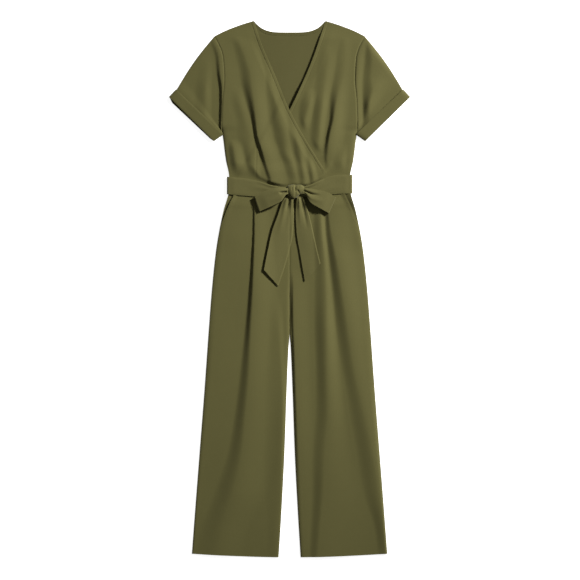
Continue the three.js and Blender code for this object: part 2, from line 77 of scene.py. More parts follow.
bpy.ops.mesh.primitive_plane_add(size=FLOOR_SIDE)
floor = bpy.context.object
floor.name = "floor"
floor_paint = bpy.data.materials.new("floor_paint")
floor_paint.use_nodes = True
set_inputs(floor_paint.node_tree.nodes["Principled BSDF"], FLOOR_LOOK)
floor.data.materials.append(floor_paint)

lamp = add_object("lamp", bpy.data.lights.new("lamp", "AREA"))
lamp.data.shape = "DISK"
lamp.data.size = LAMP_SIZE
lamp.data.energy = LAMP_POWER
lamp.data.spread = math.radians(LAMP_SPREAD)
lamp.data.color = LAMP_COLOUR
lamp.location = LAMP_PLACE
lamp.rotation_mode = "QUATERNION"
lamp.rotation_quaternion = (LAMP_AIM - LAMP_PLACE).to_track_quat("-Z", "Y")
lamp.visible_camera = False

sky = bpy.data.worlds.new("sky")
sky.use_nodes = True
set_inputs(sky.node_tree.nodes["Background"], {"Color": (1, 1, 1, 1), "Strength": SKY_STRENGTH})
bpy.context.scene.world = sky
bpy.context.scene.view_settings.view_transform = "Standard"

camera = add_object("camera", bpy.data.cameras.new("camera"))
camera.data.sensor_width = SENSOR
camera.data.lens = SENSOR * CAMERA_HEIGHT / VIEW_SIDE
camera.data.clip_end = CAMERA_REACH
camera.location = (*VIEW_CENTRE, CAMERA_HEIGHT)
bpy.context.scene.camera = camera

# Crepe.
# The cloth of the whole garment: a matte olive polyester crepe, woven plain from hard-twisted yarn. Its face
# has a fine pebble grain with paler yarn tops. Near the edge of each piece it is painted a little paler: a
# painted sheen for the shine of pressed cloth.
CREPE_LIGHT = (0.118, 0.109, 0.035, 1)
CREPE_DARK = (0.083, 0.0775, 0.022, 1)
# The inside of the cloth is painted darker than its face: painted shade for the back panel, which shows deep
# between the raised fronts in the neck opening.
PAINTED_SHADE_REVERSE_LIGHT = (0.102, 0.0935, 0.030, 1)
PAINTED_SHADE_REVERSE_DARK = (0.072, 0.067, 0.019, 1)
# The sash is the same crepe, but painted a little paler than the garment: painted light for the raised bow,
# which catches the lamp.
PAINTED_LIT_SASH_LIGHT = (0.121, 0.112, 0.037, 1)
PAINTED_LIT_SASH_DARK = (0.087, 0.0805, 0.024, 1)
GRAIN_SCALE = 900.0  # grains to a metre
YARN_SCALE = 75.0  # of a wave texture, which then draws about 240 yarns to a metre
YARN_BEND = 1.5
MOTTLE_SCALE = 34.0
TONE_SCALE = 3.2
# pressed is a painted sheen along the edges of each piece; grain, mottle and tone are the cloth's own colour
SHADE_PARTS = {"grain": 0.62, "mottle": 0.2, "tone": 0.16, "pressed": 0.14}  # what each adds to its paleness
PAINTED_SHEEN_WIDTH = 0.004  # how far in from an edge the painted sheen reaches, in metres
CREPE_ROUGHNESS = 0.9
GRAIN_GLOSS = 0.12
YARN_HEIGHT = 0.35  # of the yarns, where that of the grain is 1
CREPE_BUMP = {"Strength": 0.35, "Distance": 0.00025}
CREPE_SHINE = {"Specular IOR Level": 0.25, "Sheen Weight": 0.12, "Sheen Roughness": 0.45}


def node(tree, kind, links=None, **settings):
    """A shader node with its settings and linked inputs."""
    made = tree.nodes.new(kind)
    for key, value in settings.items():
        setattr(made, key, value)
    for socket, source in (links or {}).items():
        if isinstance(source, bpy.types.NodeSocket):
            tree.links.new(source, made.inputs[socket])
        else:
            made.inputs[socket].default_value = source
    return made


def crepe_weave_group():
    """Colour, roughness and height of crepe at a point, in object space."""
    group = bpy.data.node_groups.new("crepe_weave", "ShaderNodeTree")
    sockets = group.interface
    for name, kind, value in (
        ("Light", "Color", CREPE_LIGHT),
        ("Dark", "Color", CREPE_DARK),
        ("Grain", "Float", GRAIN_SCALE),
        ("Relief", "Float", 1.0),
    ):
        sockets.new_socket(name, in_out="INPUT", socket_type="NodeSocket" + kind).default_value = value
    for name, kind in (("Color", "Color"), ("Roughness", "Float"), ("Height", "Float")):
        sockets.new_socket(name, in_out="OUTPUT", socket_type="NodeSocket" + kind)
    given = node(group, "NodeGroupInput").outputs
    place = node(group, "ShaderNodeTexCoord").outputs["Object"]
    seam = node(group, "ShaderNodeAttribute", attribute_name="seam_distance").outputs["Fac"]

    def noise(scale, detail, roughness=0.5):
        look = {"Vector": place, "Scale": scale, "Detail": detail, "Roughness": roughness}
        return node(group, "ShaderNodeTexNoise", look).outputs["Fac"]

    def yarns(direction):
        look = {"Vector": place, "Scale": YARN_SCALE, "Distortion": YARN_BEND}
        return node(group, "ShaderNodeTexWave", look, bands_direction=direction).outputs["Fac"]

    def share(value, part, base=0.0):
        """This part of a value, added to a base."""
        links = {0: value, 1: part, 2: base}
        return node(group, "ShaderNodeMath", links, operation="MULTIPLY_ADD").outputs[0]

    # The cloth is painted paler near the edge of each piece: a painted sheen for the shine of pressed cloth.
    edge = {"Value": seam, "From Min": 0.0, "From Max": PAINTED_SHEEN_WIDTH, "To Min": 1.0, "To Max": 0.0}
    looks = {
        "grain": noise(given["Grain"], 2.0, 0.6),
        "mottle": noise(MOTTLE_SCALE, 4.0, 0.65),
        "tone": noise(TONE_SCALE, 1.0),
        "pressed": node(group, "ShaderNodeMapRange", edge, interpolation_type="SMOOTHSTEP").outputs["Result"],
    }
    shade = 0.0
    for name, part in SHADE_PARTS.items():
        shade = share(looks[name], part, shade)
    colour = node(group, "ShaderNodeMix", {0: shade, 6: given["Dark"], 7: given["Light"]}, data_type="RGBA")
    rough = share(looks["grain"], -GRAIN_GLOSS, CREPE_ROUGHNESS)
    height = share(share(yarns("X"), yarns("Y")), YARN_HEIGHT, looks["grain"])
    height = share(height, given["Relief"])
    node(group, "NodeGroupOutput", {"Color": colour.outputs[2], "Roughness": rough, "Height": height})
    return group


crepe_weave = crepe_weave_group()


def crepe(name, light, dark, relief):
    """A crepe material: the woven colour and grain, with a faint fuzz at its edges."""
    material = bpy.data.materials.new(name)
    material.use_nodes = True
    tree = material.node_tree
    shader = tree.nodes["Principled BSDF"]
    weave = node(tree, "ShaderNodeGroup", node_tree=crepe_weave)
    set_inputs(weave, {"Light": light, "Dark": dark, "Relief": relief})
    bump = node(tree, "ShaderNodeBump", {"Height": weave.outputs["Height"], **CREPE_BUMP})
    tree.links.new(weave.outputs["Color"], shader.inputs["Base Color"])
    tree.links.new(weave.outputs["Roughness"], shader.inputs["Roughness"])
    tree.links.new(bump.outputs["Normal"], shader.inputs["Normal"])
    set_inputs(shader, CREPE_SHINE)
    return material


garment_crepe = crepe("garment_crepe", CREPE_LIGHT, CREPE_DARK, 1.0)
reverse_crepe_painted_shade = crepe("reverse_crepe_painted_shade", PAINTED_SHADE_REVERSE_LIGHT, PAINTED_SHADE_REVERSE_DARK, 0.8)  # the inside of the cloth, with a fainter grain, in darker colours that are painted shade
# the same crepe in paler colours, painted light for the raised bow
sash_crepe_painted_lit = crepe("sash_crepe_painted_lit", PAINTED_LIT_SASH_LIGHT, PAINTED_LIT_SASH_DARK, 0.9)

# Bodice back.
# One panel of crepe from shoulder to waist, lying flat, with a turned and stitched edge round the back neck.
# It rises a little over the sash, which passes under it. All sizes of cloth are in millimetres.
MM = 0.001
CLOTH = 1.2  # thickness of a panel
SEAM_GAP = 0.3
LAYER = CLOTH + SEAM_GAP
SASH_WALL = 2.0
SASH_LAYER = SASH_WALL + SEAM_GAP
SASH_MIDDLE = 270
SASH_PRESS = 31  # how far from its middle all layers are pressed flat
SASH_RAMP = 34  # over what length they rise from there
SASH_EDGES = {
    "x": [-158.5, -121, -82, -46, -7, 16, 45, 78, 110, 143, 158.5],
    "top": [291, 288, 280.5, 269.5, 263.5, 263, 267.5, 281.5, 294, 297, 296.5],
    "bottom": [246, 242.5, 240, 239, 239, 240, 240, 243, 245.5, 248, 248],
}
WAIST = 262  # level of the waist seam
UNDERARM = 425
NECK_POINT = (93, 697)
SHOULDER_POINT = (195, 657)
SHOULDER_CURVE = 3.4  # how far the shoulder seam bows up from a straight line
NECK_DIP = 30  # depth of the back neck below the neck points
NECK_SQUARE = 4.0  # power of its curve, which is nearly level in the middle and steep at the ends
NECK_FACING = 8
BACK_FACING = {"rise": 0.45, "step": 1.5, "furrow": 0.25, "width": 1.2}  # its turned edge
BACK_REACH = 6  # how far past the neck point that edge is felt
BACK_DRAPE = 0.35
BACK_RIPPLE = (0.3, 95, 4)  # height, length and seed of its waves
BACK_FADE = 40  # how far in from the side seams they begin
CREASE_ANGLE = 50  # a sharper edge than this isn't shaded smooth
BODICE_SIDE = {  # the side seam up to the underarm, and the armhole from there
    "y": [262, 295, 334, 376, 425, 490, 545, 600, 622, 640, 657],
    "x": [156, 157.5, 165.5, 171, 176, 174, 169.5, 172.5, 178, 186, 195],
}


def read(table, column, at):
    """One column of a table on a curve that keeps between its rows, at a place in its first column."""
    knots, values = (np.array(numbers, float) for numbers in (next(iter(table.values())), table[column]))
    lengths = np.diff(knots)
    rises = np.diff(values) / lengths
    slopes = np.zeros_like(values)
    slopes[0], slopes[-1] = rises[0], rises[-1]
    same = rises[:-1] * rises[1:] > 0
    both = np.where(same, rises[:-1] + rises[1:], 1)
    slopes[1:-1] = np.where(same, 2 * rises[:-1] * rises[1:] / both, 0)
    spot = np.clip(at, knots[0], knots[-1])
    row = np.clip(np.searchsorted(knots, spot, side="right") - 1, 0, len(knots) - 2)
    part = (spot - knots[row]) / lengths[row]
    return (
        (1 + 2 * part) * (1 - part) ** 2 * values[row]
        + part * (1 - part) ** 2 * lengths[row] * slopes[row]
        + part**2 * (3 - 2 * part) * values[row + 1]
        + part**2 * (part - 1) * lengths[row] * slopes[row + 1]
    )


def ease(value):
    """0 below zero, 1 above one, and a soft rise between."""
    part = np.clip(value, 0, 1)
    return part * part * (3 - 2 * part)


def rising(value, start, length):
    """0 up to a start, and 1 from this length past it."""
    return ease((value - start) / length)


def bell(value):
    """1 at zero, with soft flanks."""
    return np.exp(-(value**2))


def mix(low, high, part):
    return low + (high - low) * part


def press(y):
    """1 under the sash, where all layers are pressed flat, and 0 away from it."""
    return 1 - ease((np.abs(y - SASH_MIDDLE) - SASH_PRESS) / SASH_RAMP)


def back_height(y):
    return press(y) * SASH_LAYER


def ripple(x, y, height, length, seed):
    """Low uneven waves of the cloth, up to this height and about this long."""
    waves, shortest, step, stretch, span = 6, 0.7, 0.13, 0.55, 3.2
    turns = np.random.default_rng(seed).uniform(0, 2 * math.pi, 2 * waves)
    total = 0
    for index in range(waves):
        angle = turns[index]
        across = x * math.cos(angle) + y * math.sin(angle) * stretch
        beside = length * (shortest + step * index)
        total = total + np.sin(across * 2 * math.pi / beside + turns[index + waves])
    return height * (total / span)


def edge_distance(grid):
    """How far each point of a grid of cloth lies from its border, in millimetres."""

    def from_ends(points):
        lengths = np.linalg.norm(np.diff(points, axis=1), axis=2)
        run = np.concatenate([np.zeros((len(points), 1)), np.cumsum(lengths, axis=1)], axis=1)
        return np.minimum(run, run[:, -1:] - run)

    return np.minimum(from_ends(grid), from_ends(grid.transpose(1, 0, 2)).T)


def shell(name, inner, outer, material, ringed=False):
    """A closed wall of cloth between two grids of points, in millimetres, with its rim."""
    rows, across = inner.shape[:2]
    layer = rows * across
    index = np.arange(layer).reshape(rows, across)
    if ringed:
        index = np.concatenate([index, index[:, :1]], axis=1)
    a, b, c, d = index[:-1, :-1], index[:-1, 1:], index[1:, 1:], index[1:, :-1]

    def quads(*corners):
        return np.stack(corners, axis=-1).reshape(-1, 4)

    faces = [
        quads(a + layer, b + layer, c + layer, d + layer),
        quads(d, c, b, a),
        quads(a[0], b[0], b[0] + layer, a[0] + layer),
        quads(d[-1] + layer, c[-1] + layer, c[-1], d[-1]),
    ]
    if not ringed:
        faces.append(quads(a[:, 0] + layer, d[:, 0] + layer, d[:, 0], a[:, 0]))
        faces.append(quads(c[:, -1] + layer, b[:, -1] + layer, b[:, -1], c[:, -1]))
    faces = np.concatenate(faces)
    points = np.concatenate([inner.reshape(-1, 3), outer.reshape(-1, 3)]) * MM
    corners = points[faces]
    first = np.cross(corners[:, 1] - corners[:, 0], corners[:, 2] - corners[:, 0])
    second = np.cross(corners[:, 2] - corners[:, 0], corners[:, 3] - corners[:, 0])
    volume = np.sum(corners[:, 0] * (first + second))
    if volume < 0:
        faces = faces[:, ::-1]
    mesh = bpy.data.meshes.new(name)
    mesh.from_pydata(points.tolist(), [], faces.tolist())
    mesh.polygons.foreach_set("use_smooth", [True] * len(mesh.polygons))
    mesh.set_sharp_from_angle(angle=math.radians(CREASE_ANGLE))
    border = edge_distance(outer).reshape(-1) * MM
    seam = mesh.attributes.new("seam_distance", "FLOAT", "POINT")
    seam.data.foreach_set("value", np.concatenate([border, border]))
    mesh.materials.append(material)
    return add_object(name, mesh)


def sheet(name, x, y, z, material, wall=CLOTH):
    """A sheet of cloth over the points of its lower face, and its area laid out flat."""
    faces = (np.stack([x, y, level], axis=-1) for level in (z, z + wall))
    return shell(name, *faces, material), plan_area(x, y)


def plan_area(x, y):
    """Area of a grid of cloth laid out flat, in square metres."""
    first = (x[1:, 1:] - x[:-1, :-1]) * (y[1:, :-1] - y[:-1, 1:])
    second = (x[1:, :-1] - x[:-1, 1:]) * (y[1:, 1:] - y[:-1, :-1])
    return np.abs(np.sum(first - second)) / 2 * MM * MM


def lay(cloth, cad_node):
    """A piece of cloth rides on the one body and stands for its CAD node, which is hidden. Its area is not
    used.
    """
    piece, area = cloth
    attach(piece, "root")
    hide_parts(cad_node)
    return piece


def neck_drop(x):
    """How far the edge of the back neck lies below the neck points."""
    return NECK_DIP * (1 - np.minimum(np.abs(x) / NECK_POINT[0], 1) ** NECK_SQUARE)


def turned_edge(distance, rise, step, furrow, width):
    """A turned edge is double, so it stands up as far in as its stitches, which pull a furrow."""
    return rise * ease((NECK_FACING - distance) / step) - furrow * bell((distance - NECK_FACING) / width)


def bodice_back():
    columns = np.linspace(-1, 1, 91)
    reach = np.abs(columns) * SHOULDER_POINT[0]
    shoulder = (reach - NECK_POINT[0]) / (SHOULDER_POINT[0] - NECK_POINT[0])
    seam = mix(NECK_POINT[1], SHOULDER_POINT[1], shoulder) + SHOULDER_CURVE * np.sin(math.pi * shoulder)
    top = np.where(shoulder > 0, seam, NECK_POINT[1] - neck_drop(reach))
    y = mix(WAIST + SEAM_GAP / 2, top[None, :], np.linspace(0, 1, 100)[:, None])
    x = columns[None, :] * read(BODICE_SIDE, "x", y)
    near_neck = np.abs(x) < NECK_POINT[0] + BACK_REACH
    facing = np.where(near_neck, turned_edge(top[None, :] - y, **BACK_FACING), 0)
    inside = ease((read(BODICE_SIDE, "x", y) - np.abs(x)) / BACK_FADE) * (1 - press(y))
    drape = inside * (BACK_DRAPE + ripple(x, y, *BACK_RIPPLE))
    z = back_height(y) + np.maximum(drape, 0)
    return sheet("back_panel", x, y, z, reverse_crepe_painted_shade, CLOTH + facing)


back_panel = lay(bodice_back(), "bodice_back")

# Bodice fronts.
# Two panels of crepe from shoulder to waist. The left one crosses over the right one, and each free edge is
# turned and stitched 8 mm in. Each has a dart up from the waist, and folds run from the bust to it.
WRAP_EDGE = {"y": [262, 291, 356, 413, 473, 556, 634, 697], "x": [120, 102, 61, 27, -4, -38, -72, -93]}
UNDER_EDGE = {"y": [262, 413, 473, 517, 556, 595, 634, 697], "x": [-120, -27, 4, 25, 42.5, 58.5, 72.5, 93]}
FRONT_SWELL = {"y": [262, 350, 425, 500, 560, 620, 660, 700], "rise": [3, 4, 5.0, 4.8, 4.2, 3.2, 2.2, 1.8]}
SEAM_DIP = (0.9, 1.4)  # depth and width of the furrow along an armhole seam
BAG_START = 1
BAG = {  # length over which a front rises from the sash
    "x": [-158, -98, -74, -20, 14, 40, 60, 82, 108, 158], "length": [44, 36, 13, 7, 12, 5, 3.5, 6, 34, 44],
}
EDGE_FADE = 30  # how far in from a free edge the folds begin
EDGE_SHARE = 0.4  # part of their height that they have at the edge itself beside the neck
FRONT_RIPPLE = (0.5, 120, 7)
FRONT_FACING = {"rise": 0.4, "step": 1.2, "furrow": 0.3, "width": 1.1}
FACING_EDGE = 0.8  # how far in the turned edge is rounded
SIDE_ROLL = 15  # how far in from the side seam a front is level
ARM_REACH = 60  # how far in from the armhole seam its allowances hold the cloth up
FACING_ZONE = (300, 20)  # level where the turned edge begins, and over what length it comes in
ARM_ZONE = (400, 28)  # the same for the lie of the cloth along the armhole
ARM_SEAM_ZONE = (410, 20)
NECK_ZONE = (440, 90)
SHOULDER_ZONE = (-30, 40)  # counted down from the shoulder point
BARE_ZONE = (2, 22)  # how far past the crossed edge the folds of the under front begin, and over what length
BARE_LEVEL = (480, 60)
CROSS_ZONE = (-44, 18)  # where the over front climbs onto the under front, counted from its edge
CHEST_LEVELS = [286, 322, 361, 400, 439, 478, 517, 556, 595, 634]


def fold(y, x, rise, left, right):
    """A fold of a panel: its levels, the place and rise of its crest, and the widths of its two flanks."""
    return {"y": y, "x": x, "rise": rise, "left": left, "right": right}


OVER_FOLDS = [
    # deep fold from the bust to the waist
    fold([*CHEST_LEVELS, 655], [-47, -59, -71, -83, -87, -91, -96, -100, -111, -127, -134],
         [4, 5, 7, 7.5, 8, 8.5, 7.6, 5.6, 4, 2.4, 0], [12, 12, 10, 9, 14, 22, 28, 32, 30, 23, 20],
         [44, 46, 46, 46, 46, 48, 56, 66, 66, 56, 40]),
    fold([*CHEST_LEVELS, 670], [14, 6, -9.5, -13, -25, -33, -43, -46, -56, -66, -74],
         [2, 3.5, 3.4, 4.6, 4.6, 4.0, 3.2, 2.8, 2.4, 1.6, 0], [20, 23, 23, 33, 31, 28, 21, 18, 18, 18, 16],
         [20, 22, 24, 30, 34, 34, 30, 24, 20, 18, 16]),
    fold([286, 322, 361, 400, 439, 470], [38, 32, 27, 17, 13, 8], [3, 4.2, 4.6, 4.2, 3.0, 0],
         [16, 18, 23, 21, 20, 18], [16, 18, 22, 24, 24, 20]),
    fold([286, 308, 326, 352], [62, 58, 54, 46], [2.4, 2.8, 2.4, 0], [12, 15, 16, 14], [14, 14, 14, 12]),
    # shallow fold outside the deep one
    fold([300, 322, 361, 400, 439, 478, 530], [-92, -96, -102, -106, -116, -129, -142],
         [2.2, 2.8, 2.6, 2.2, 2.2, 2.8, 0], [16, 18, 23, 34, 26, 26, 22], [20, 24, 26, 28, 28, 28, 24]),
    # fold beside the side seam
    fold([284, 322, 361, 388], [-134, -138, -144, -149], [4.4, 5.6, 4.0, 0], [16, 18, 16, 12],
         [26, 28, 28, 24]),
]
UNDER_FOLDS = [
    # the same deep fold on the other side
    fold([*CHEST_LEVELS, 655], [97, 99, 100, 105, 114.5, 121, 131, 142, 147, 146, 146],
         [1, 2, 5, 7, 7.5, 7, 5, 3.5, 2.9, 1.5, 0], [10, 14, 12, 10, 13, 18, 26, 28, 28, 20, 16],
         [36, 38, 40, 42, 42, 42, 36, 30, 24, 24, 20]),
    fold([355, 378, 439, 478, 517, 556, 595, 630], [72, 74, 79, 84, 88, 93, 100, 104],
         [0, 3.6, 4.5, 4.8, 3.6, 3.5, 2, 0], [20, 26, 23, 26, 28, 28, 28, 24],
         [16, 16, 18, 18, 22, 25, 25, 22]),
    fold([404, 439, 478, 520], [34, 40, 49, 58], [0, 4.0, 4.3, 0], [18, 20, 26, 24], [16, 18, 18, 18]),
    fold([286, 322, 345, 376], [132, 134, 136, 139], [4, 3.6, 2, 0], [24, 24, 22, 18], [16, 16, 16, 14]),
]
DARTS = {"over": (-88, -86, 372), "under": (92, 91, 352)}  # x at the waist, x at the tip, level of the tip
DART_FOOT = 290
DART_FURROW = (0.9, 1.3)  # depth and width
DART_RIDGE = (0.5, 9)
DART_FADE = 12
HALVINGS = 30  # steps to find where a front meets the shoulder seam
FRONT_WIDE = 0.93  # part of a front that has wide columns, before the narrow ones at its free edge
SHOULDER_BOW = SHOULDER_CURVE * (SHOULDER_POINT[0] - NECK_POINT[0]) / (NECK_POINT[1] - SHOULDER_POINT[1])
NECK_STAND = {  # how far a free front edge stands off the back beside the neck
    "over": {"y": [262, 697], "rise": [2.2, 2.2]},
    "under": {"y": [440, 478, 517, 556, 697], "rise": [10, 9, 6, 3.4, 3.2]},
}
ARM_STAND = {  # height of the cloth along the armhole seam, where the seam allowances lie
    "y": [396, 425, 478, 517, 556, 595, 634, 660], "left": [0, 6.2, 7.0, 6.8, 5.8, 4.2, 2.6, 1],
    "right": [0, 5.6, 5.6, 5.2, 4.8, 4.0, 2.8, 1],
}


def folded(x, y, table):
    """Height of the folds of a table: each has a crest, and a left and a right flank of their own widths."""
    total = np.zeros_like(x)
    for line in table:
        side = x - read(line, "x", y)
        left = ease(1 + side / read(line, "left", y))
        right = ease(1 - side / read(line, "right", y))
        total += read(line, "rise", y) * np.where(side < 0, left, right)
    return total


def rolled(distance, width):
    """How a panel rises from a seam: steep at the seam and level at this distance from it."""
    part = np.clip(distance / width, 0, 1)
    return np.sqrt(1 - (1 - part) ** 2)


def settled(height):
    """The same height, but never below the layer that it lies on."""
    soft = 0.5
    return (height + np.sqrt(height**2 + soft)) / 2 - math.sqrt(soft) / 2


def shoulder_level(part):
    """Level at which a line this far from the side to the free edge meets the shoulder seam."""
    low = np.full_like(part, SHOULDER_POINT[1], dtype=float)
    high = np.full_like(part, NECK_POINT[1], dtype=float)
    for _ in range(HALVINGS):
        middle = (low + high) / 2
        rise = (middle - SHOULDER_POINT[1]) / (NECK_POINT[1] - SHOULDER_POINT[1])
        seam = mix(SHOULDER_POINT[0], NECK_POINT[0], rise) + SHOULDER_BOW * np.sin(math.pi * rise)
        inside = seam > mix(SHOULDER_POINT[0], -read(WRAP_EDGE, "x", middle), part)
        low, high = np.where(inside, middle, low), np.where(inside, high, middle)
    return low


def dart(x, y, name):
    """A sewn dart: a thin furrow from the waist to its tip, and the cloth a little fuller beside it."""
    foot, tip, top = DARTS[name]
    side = x - mix(foot, tip, (y - DART_FOOT) / (top - DART_FOOT))
    furrow, ridge = (height * bell(side / width) for height, width in (DART_FURROW, DART_RIDGE))
    return ease((top - y) / DART_FADE) * (ridge - furrow)


def bound(x, y):
    """1 where the sash holds a front down, and 0 above it, where the cloth bags over the sash."""
    return 1 - rising(y - read(SASH_EDGES, "top", x), BAG_START, read(BAG, "length", x))


def front_relief(x, y, free, table, name, shown=1):
    """Height of a front above the layers below it. free is the distance in from its free edge, and shown
    fades its folds where the other front holds it flat. Both swell alike, so one stays on the other."""
    side = read(BODICE_SIDE, "x", y) - np.abs(x)
    neck = rising(y, *NECK_ZONE)
    inward = ease(free / EDGE_FADE)
    swell = read(FRONT_SWELL, "rise", y)
    folds = (folded(x, y, table) + dart(x, y, name) + ripple(x, y, *FRONT_RIPPLE)) * shown
    bulk = mix(swell + folds * inward, (swell + folds) * mix(EDGE_SHARE, 1, inward), neck)
    bulk = settled(bulk) + neck * read(NECK_STAND[name], "rise", y) * np.exp(-free / EDGE_FADE)
    stand = np.where(x < 0, read(ARM_STAND, "left", y), read(ARM_STAND, "right", y))
    beside_arm = mix(stand, bulk, ease(side / ARM_REACH))
    bulk = mix(rolled(side, SIDE_ROLL) * bulk, beside_arm, rising(y, *ARM_ZONE))
    bulk = bulk - SEAM_DIP[0] * bell(side / SEAM_DIP[1]) * rising(y, *ARM_SEAM_ZONE)
    facing = turned_edge(free, **FRONT_FACING) * ease(free / FACING_EDGE) * rising(y, *FACING_ZONE)
    return rising(SHOULDER_POINT[1] - y, *SHOULDER_ZONE) * (1 - bound(x, y)) * bulk + facing


def bodice_front(name, side, edge, height):
    parts = np.unique(np.concatenate([np.linspace(0, FRONT_WIDE, 96), np.linspace(FRONT_WIDE, 1, 16)]))
    top = shoulder_level(parts)
    y = mix(WAIST + SEAM_GAP / 2, top[None, :], np.linspace(0, 1, 150)[:, None])
    x = mix(side * read(BODICE_SIDE, "x", y), read(edge, "x", y), parts[None, :])
    return sheet(name, x, y, height(x, y), garment_crepe)


def under_height(x, y):
    bare = np.maximum(rising(x - read(WRAP_EDGE, "x", y), *BARE_ZONE), rising(y, *BARE_LEVEL))
    relief = front_relief(x, y, x - read(UNDER_EDGE, "x", y), UNDER_FOLDS, "under", bare)
    return back_height(y) + LAYER + relief


def over_height(x, y):
    edge = read(WRAP_EDGE, "x", y)
    climb = LAYER * rising(x + edge, *CROSS_ZONE)
    return back_height(y) + LAYER + climb + front_relief(x, y, edge - x, OVER_FOLDS, "over")


front_under = bodice_front("front_panel_under", 1, UNDER_EDGE, under_height)
front_under = lay(front_under, "bodice_front_under")
front_over = bodice_front("front_panel_over", -1, WRAP_EDGE, over_height)
front_over = lay(front_over, "bodice_front_over")

# Sleeves.
# Each is cut in one piece, set into the armhole and closed by an underarm seam, and lies flattened. Its head
# stands up beside the armhole seam, soft folds run down from it, and its end goes on under the cuff.
SIDES = {"left": -1, "right": 1}
SLEEVE_LINE = ((293.5, 518), (173, 402))
SLEEVE_END = ((309.5, 498), (196.5, 387))
SHOULDER_BULGE = 3.5
SLEEVE_SWELL = {"left": 1.2, "right": 2.4}
ARM_FALL = {  # where the cloth beside the armhole seam begins to fall to the sleeve, and over what length
    "y": [425, 480, 510, 566, 630], "left_start": [0, 0, 2, 10, 10],
    "left_length": [8, 8, 9, 11, 12], "right_start": [0, 0, 2, 6, 8],
    "right_length": [18, 18, 18, 18, 18],
}
SLEEVE_TUCK = {"left": 0.6, "right": 0.3}  # part of its height that it keeps under the cuff
TUCK_ZONE = (0.55, 0.4)  # part of the way along the arm where it begins to lose it, and over what part
SLEEVE_CLIMB = (0.8, 0.18)  # the same for its climb onto the lower layer of the cuff
SLEEVE_ROLL = 15
SLEEVE_RIPPLE = (0.4, 90, 11)
TUBE_STEP = 2.8  # distance between the points of a tube
SEAM_REACH = 1.8
SLEEVE_SEAM = {  # depth of the furrow along the armhole seam
    "y": [425, 520, 560, 640], "left": [0.4, 0.4, 0.9, 0.9],
    "right": [0.9, 1.2, 2.2, 2.0],
}
SLEEVE_FOLDS = {
    "right": [
        fold([400, 439, 478, 517, 556, 595, 634, 655], [206, 209, 210, 217, 213, 216, 209, 205],
             [9, 10, 9, 6.6, 3.7, 4.2, 2, 0], [20, 20, 22, 30, 24, 23, 16, 14],
             [90, 90, 90, 90, 84, 76, 50, 30]),
    ],
    "left": [
        fold([420, 440, 478, 520, 560, 610], [-223, -222, -222, -220, -216, -214],
             [1.0, 2.8, 3.4, 2.6, 1.2, 0], [28, 28, 28, 28, 26, 24], [22, 22, 22, 20, 18, 16]),
    ],
}


def flat_tube(name, rows, place, heights, material, slip=None):
    """A flattened tube, whose two long edges are round folds. place gives the plan of a row and a part of its
    width, heights the level of its underside and the swell of its upper layer there, and slip how far the
    lower layer has moved from under the upper one."""
    plan_x, plan_y = place(rows[:, None], np.linspace(0, 1, 241)[None, :])
    step = np.hypot(np.diff(plan_x, axis=1), np.diff(plan_y, axis=1))
    run = np.concatenate([np.zeros((len(rows), 1)), np.cumsum(step, axis=1)], axis=1)
    length = run[:, -1:]
    half = CLOTH + SEAM_GAP / 2
    angles = np.linspace(0, math.pi / 2, 5)
    middle = np.linspace(0, 1, int(length.max() / TUBE_STEP))[1:-1][None, :]

    def ring(inset):
        radius = half - inset
        near = np.broadcast_to(half - radius * np.cos(angles), (len(rows), len(angles)))
        distance = np.concatenate([near, mix(half, length - half, middle), length - near[:, ::-1]], axis=1)
        thick = radius * np.concatenate([np.sin(angles), np.ones(middle.size), np.sin(angles)[::-1]])[None, :]
        x, y = (np.stack([np.interp(*row) for row in zip(distance, run, plan)]) for plan in (plan_x, plan_y))
        low, swell = heights(x, y, rows[:, None], distance, length)
        level = low + half
        under_x, under_y = slip(rows[:, None], distance / length) if slip else (0, 0)
        upper = np.stack([x, y, level + thick + swell], axis=-1)
        lower = np.stack([x + under_x, y + under_y, level - thick], axis=-1)
        return np.concatenate([upper, lower[:, ::-1]], axis=1)

    return shell(name, ring(CLOTH), ring(0), material, ringed=True), 2 * plan_area(plan_x, plan_y)


def edge_points(ends, part):
    """Points of a straight edge, x and y, this part of the way along it."""
    return [mix(first, last, part) for first, last in zip(*ends)]


def arm_place(side):
    """Plan of a sleeve: rows 0 to 1 run from the armhole to the cuff, and 1 to 2 on under the cuff."""

    def place(row, part):
        arm, inside_cuff = np.clip(row, 0, 1), np.clip(row - 1, 0, 1)
        seam_y = mix(SHOULDER_POINT[1], UNDERARM, part)
        seam = (read(BODICE_SIDE, "x", seam_y), seam_y)
        bulge = SHOULDER_BULGE * np.sin(math.pi * arm) * (1 - part) ** 2
        edges = zip(seam, edge_points(SLEEVE_LINE, part), edge_points(SLEEVE_END, part))
        x, y = (mix(mix(start, line, arm) + bulge, end, inside_cuff) for start, line, end in edges)
        return side * x, y

    return place


def sleeve_heights(hand):
    def heights(x, y, row, distance, length):
        arm = np.clip(row, 0, 1)
        edge = rolled(np.minimum(distance, length - distance), SLEEVE_ROLL)
        out = np.abs(x) - read(BODICE_SIDE, "x", y)
        bulk = settled(SLEEVE_SWELL[hand] + folded(x, y, SLEEVE_FOLDS[hand]) + ripple(x, y, *SLEEVE_RIPPLE))
        fall = rising(out, read(ARM_FALL, f"{hand}_start", y), read(ARM_FALL, f"{hand}_length", y))
        furrow = read(SLEEVE_SEAM, hand, y) * bell(out / SEAM_REACH)
        swell = mix(read(ARM_STAND, hand, y), bulk, fall) - furrow
        tuck = mix(1, SLEEVE_TUCK[hand], rising(arm, *TUCK_ZONE))
        return LAYER * rising(arm, *SLEEVE_CLIMB) + 0 * x, np.maximum(edge * swell * tuck, 0)

    return heights


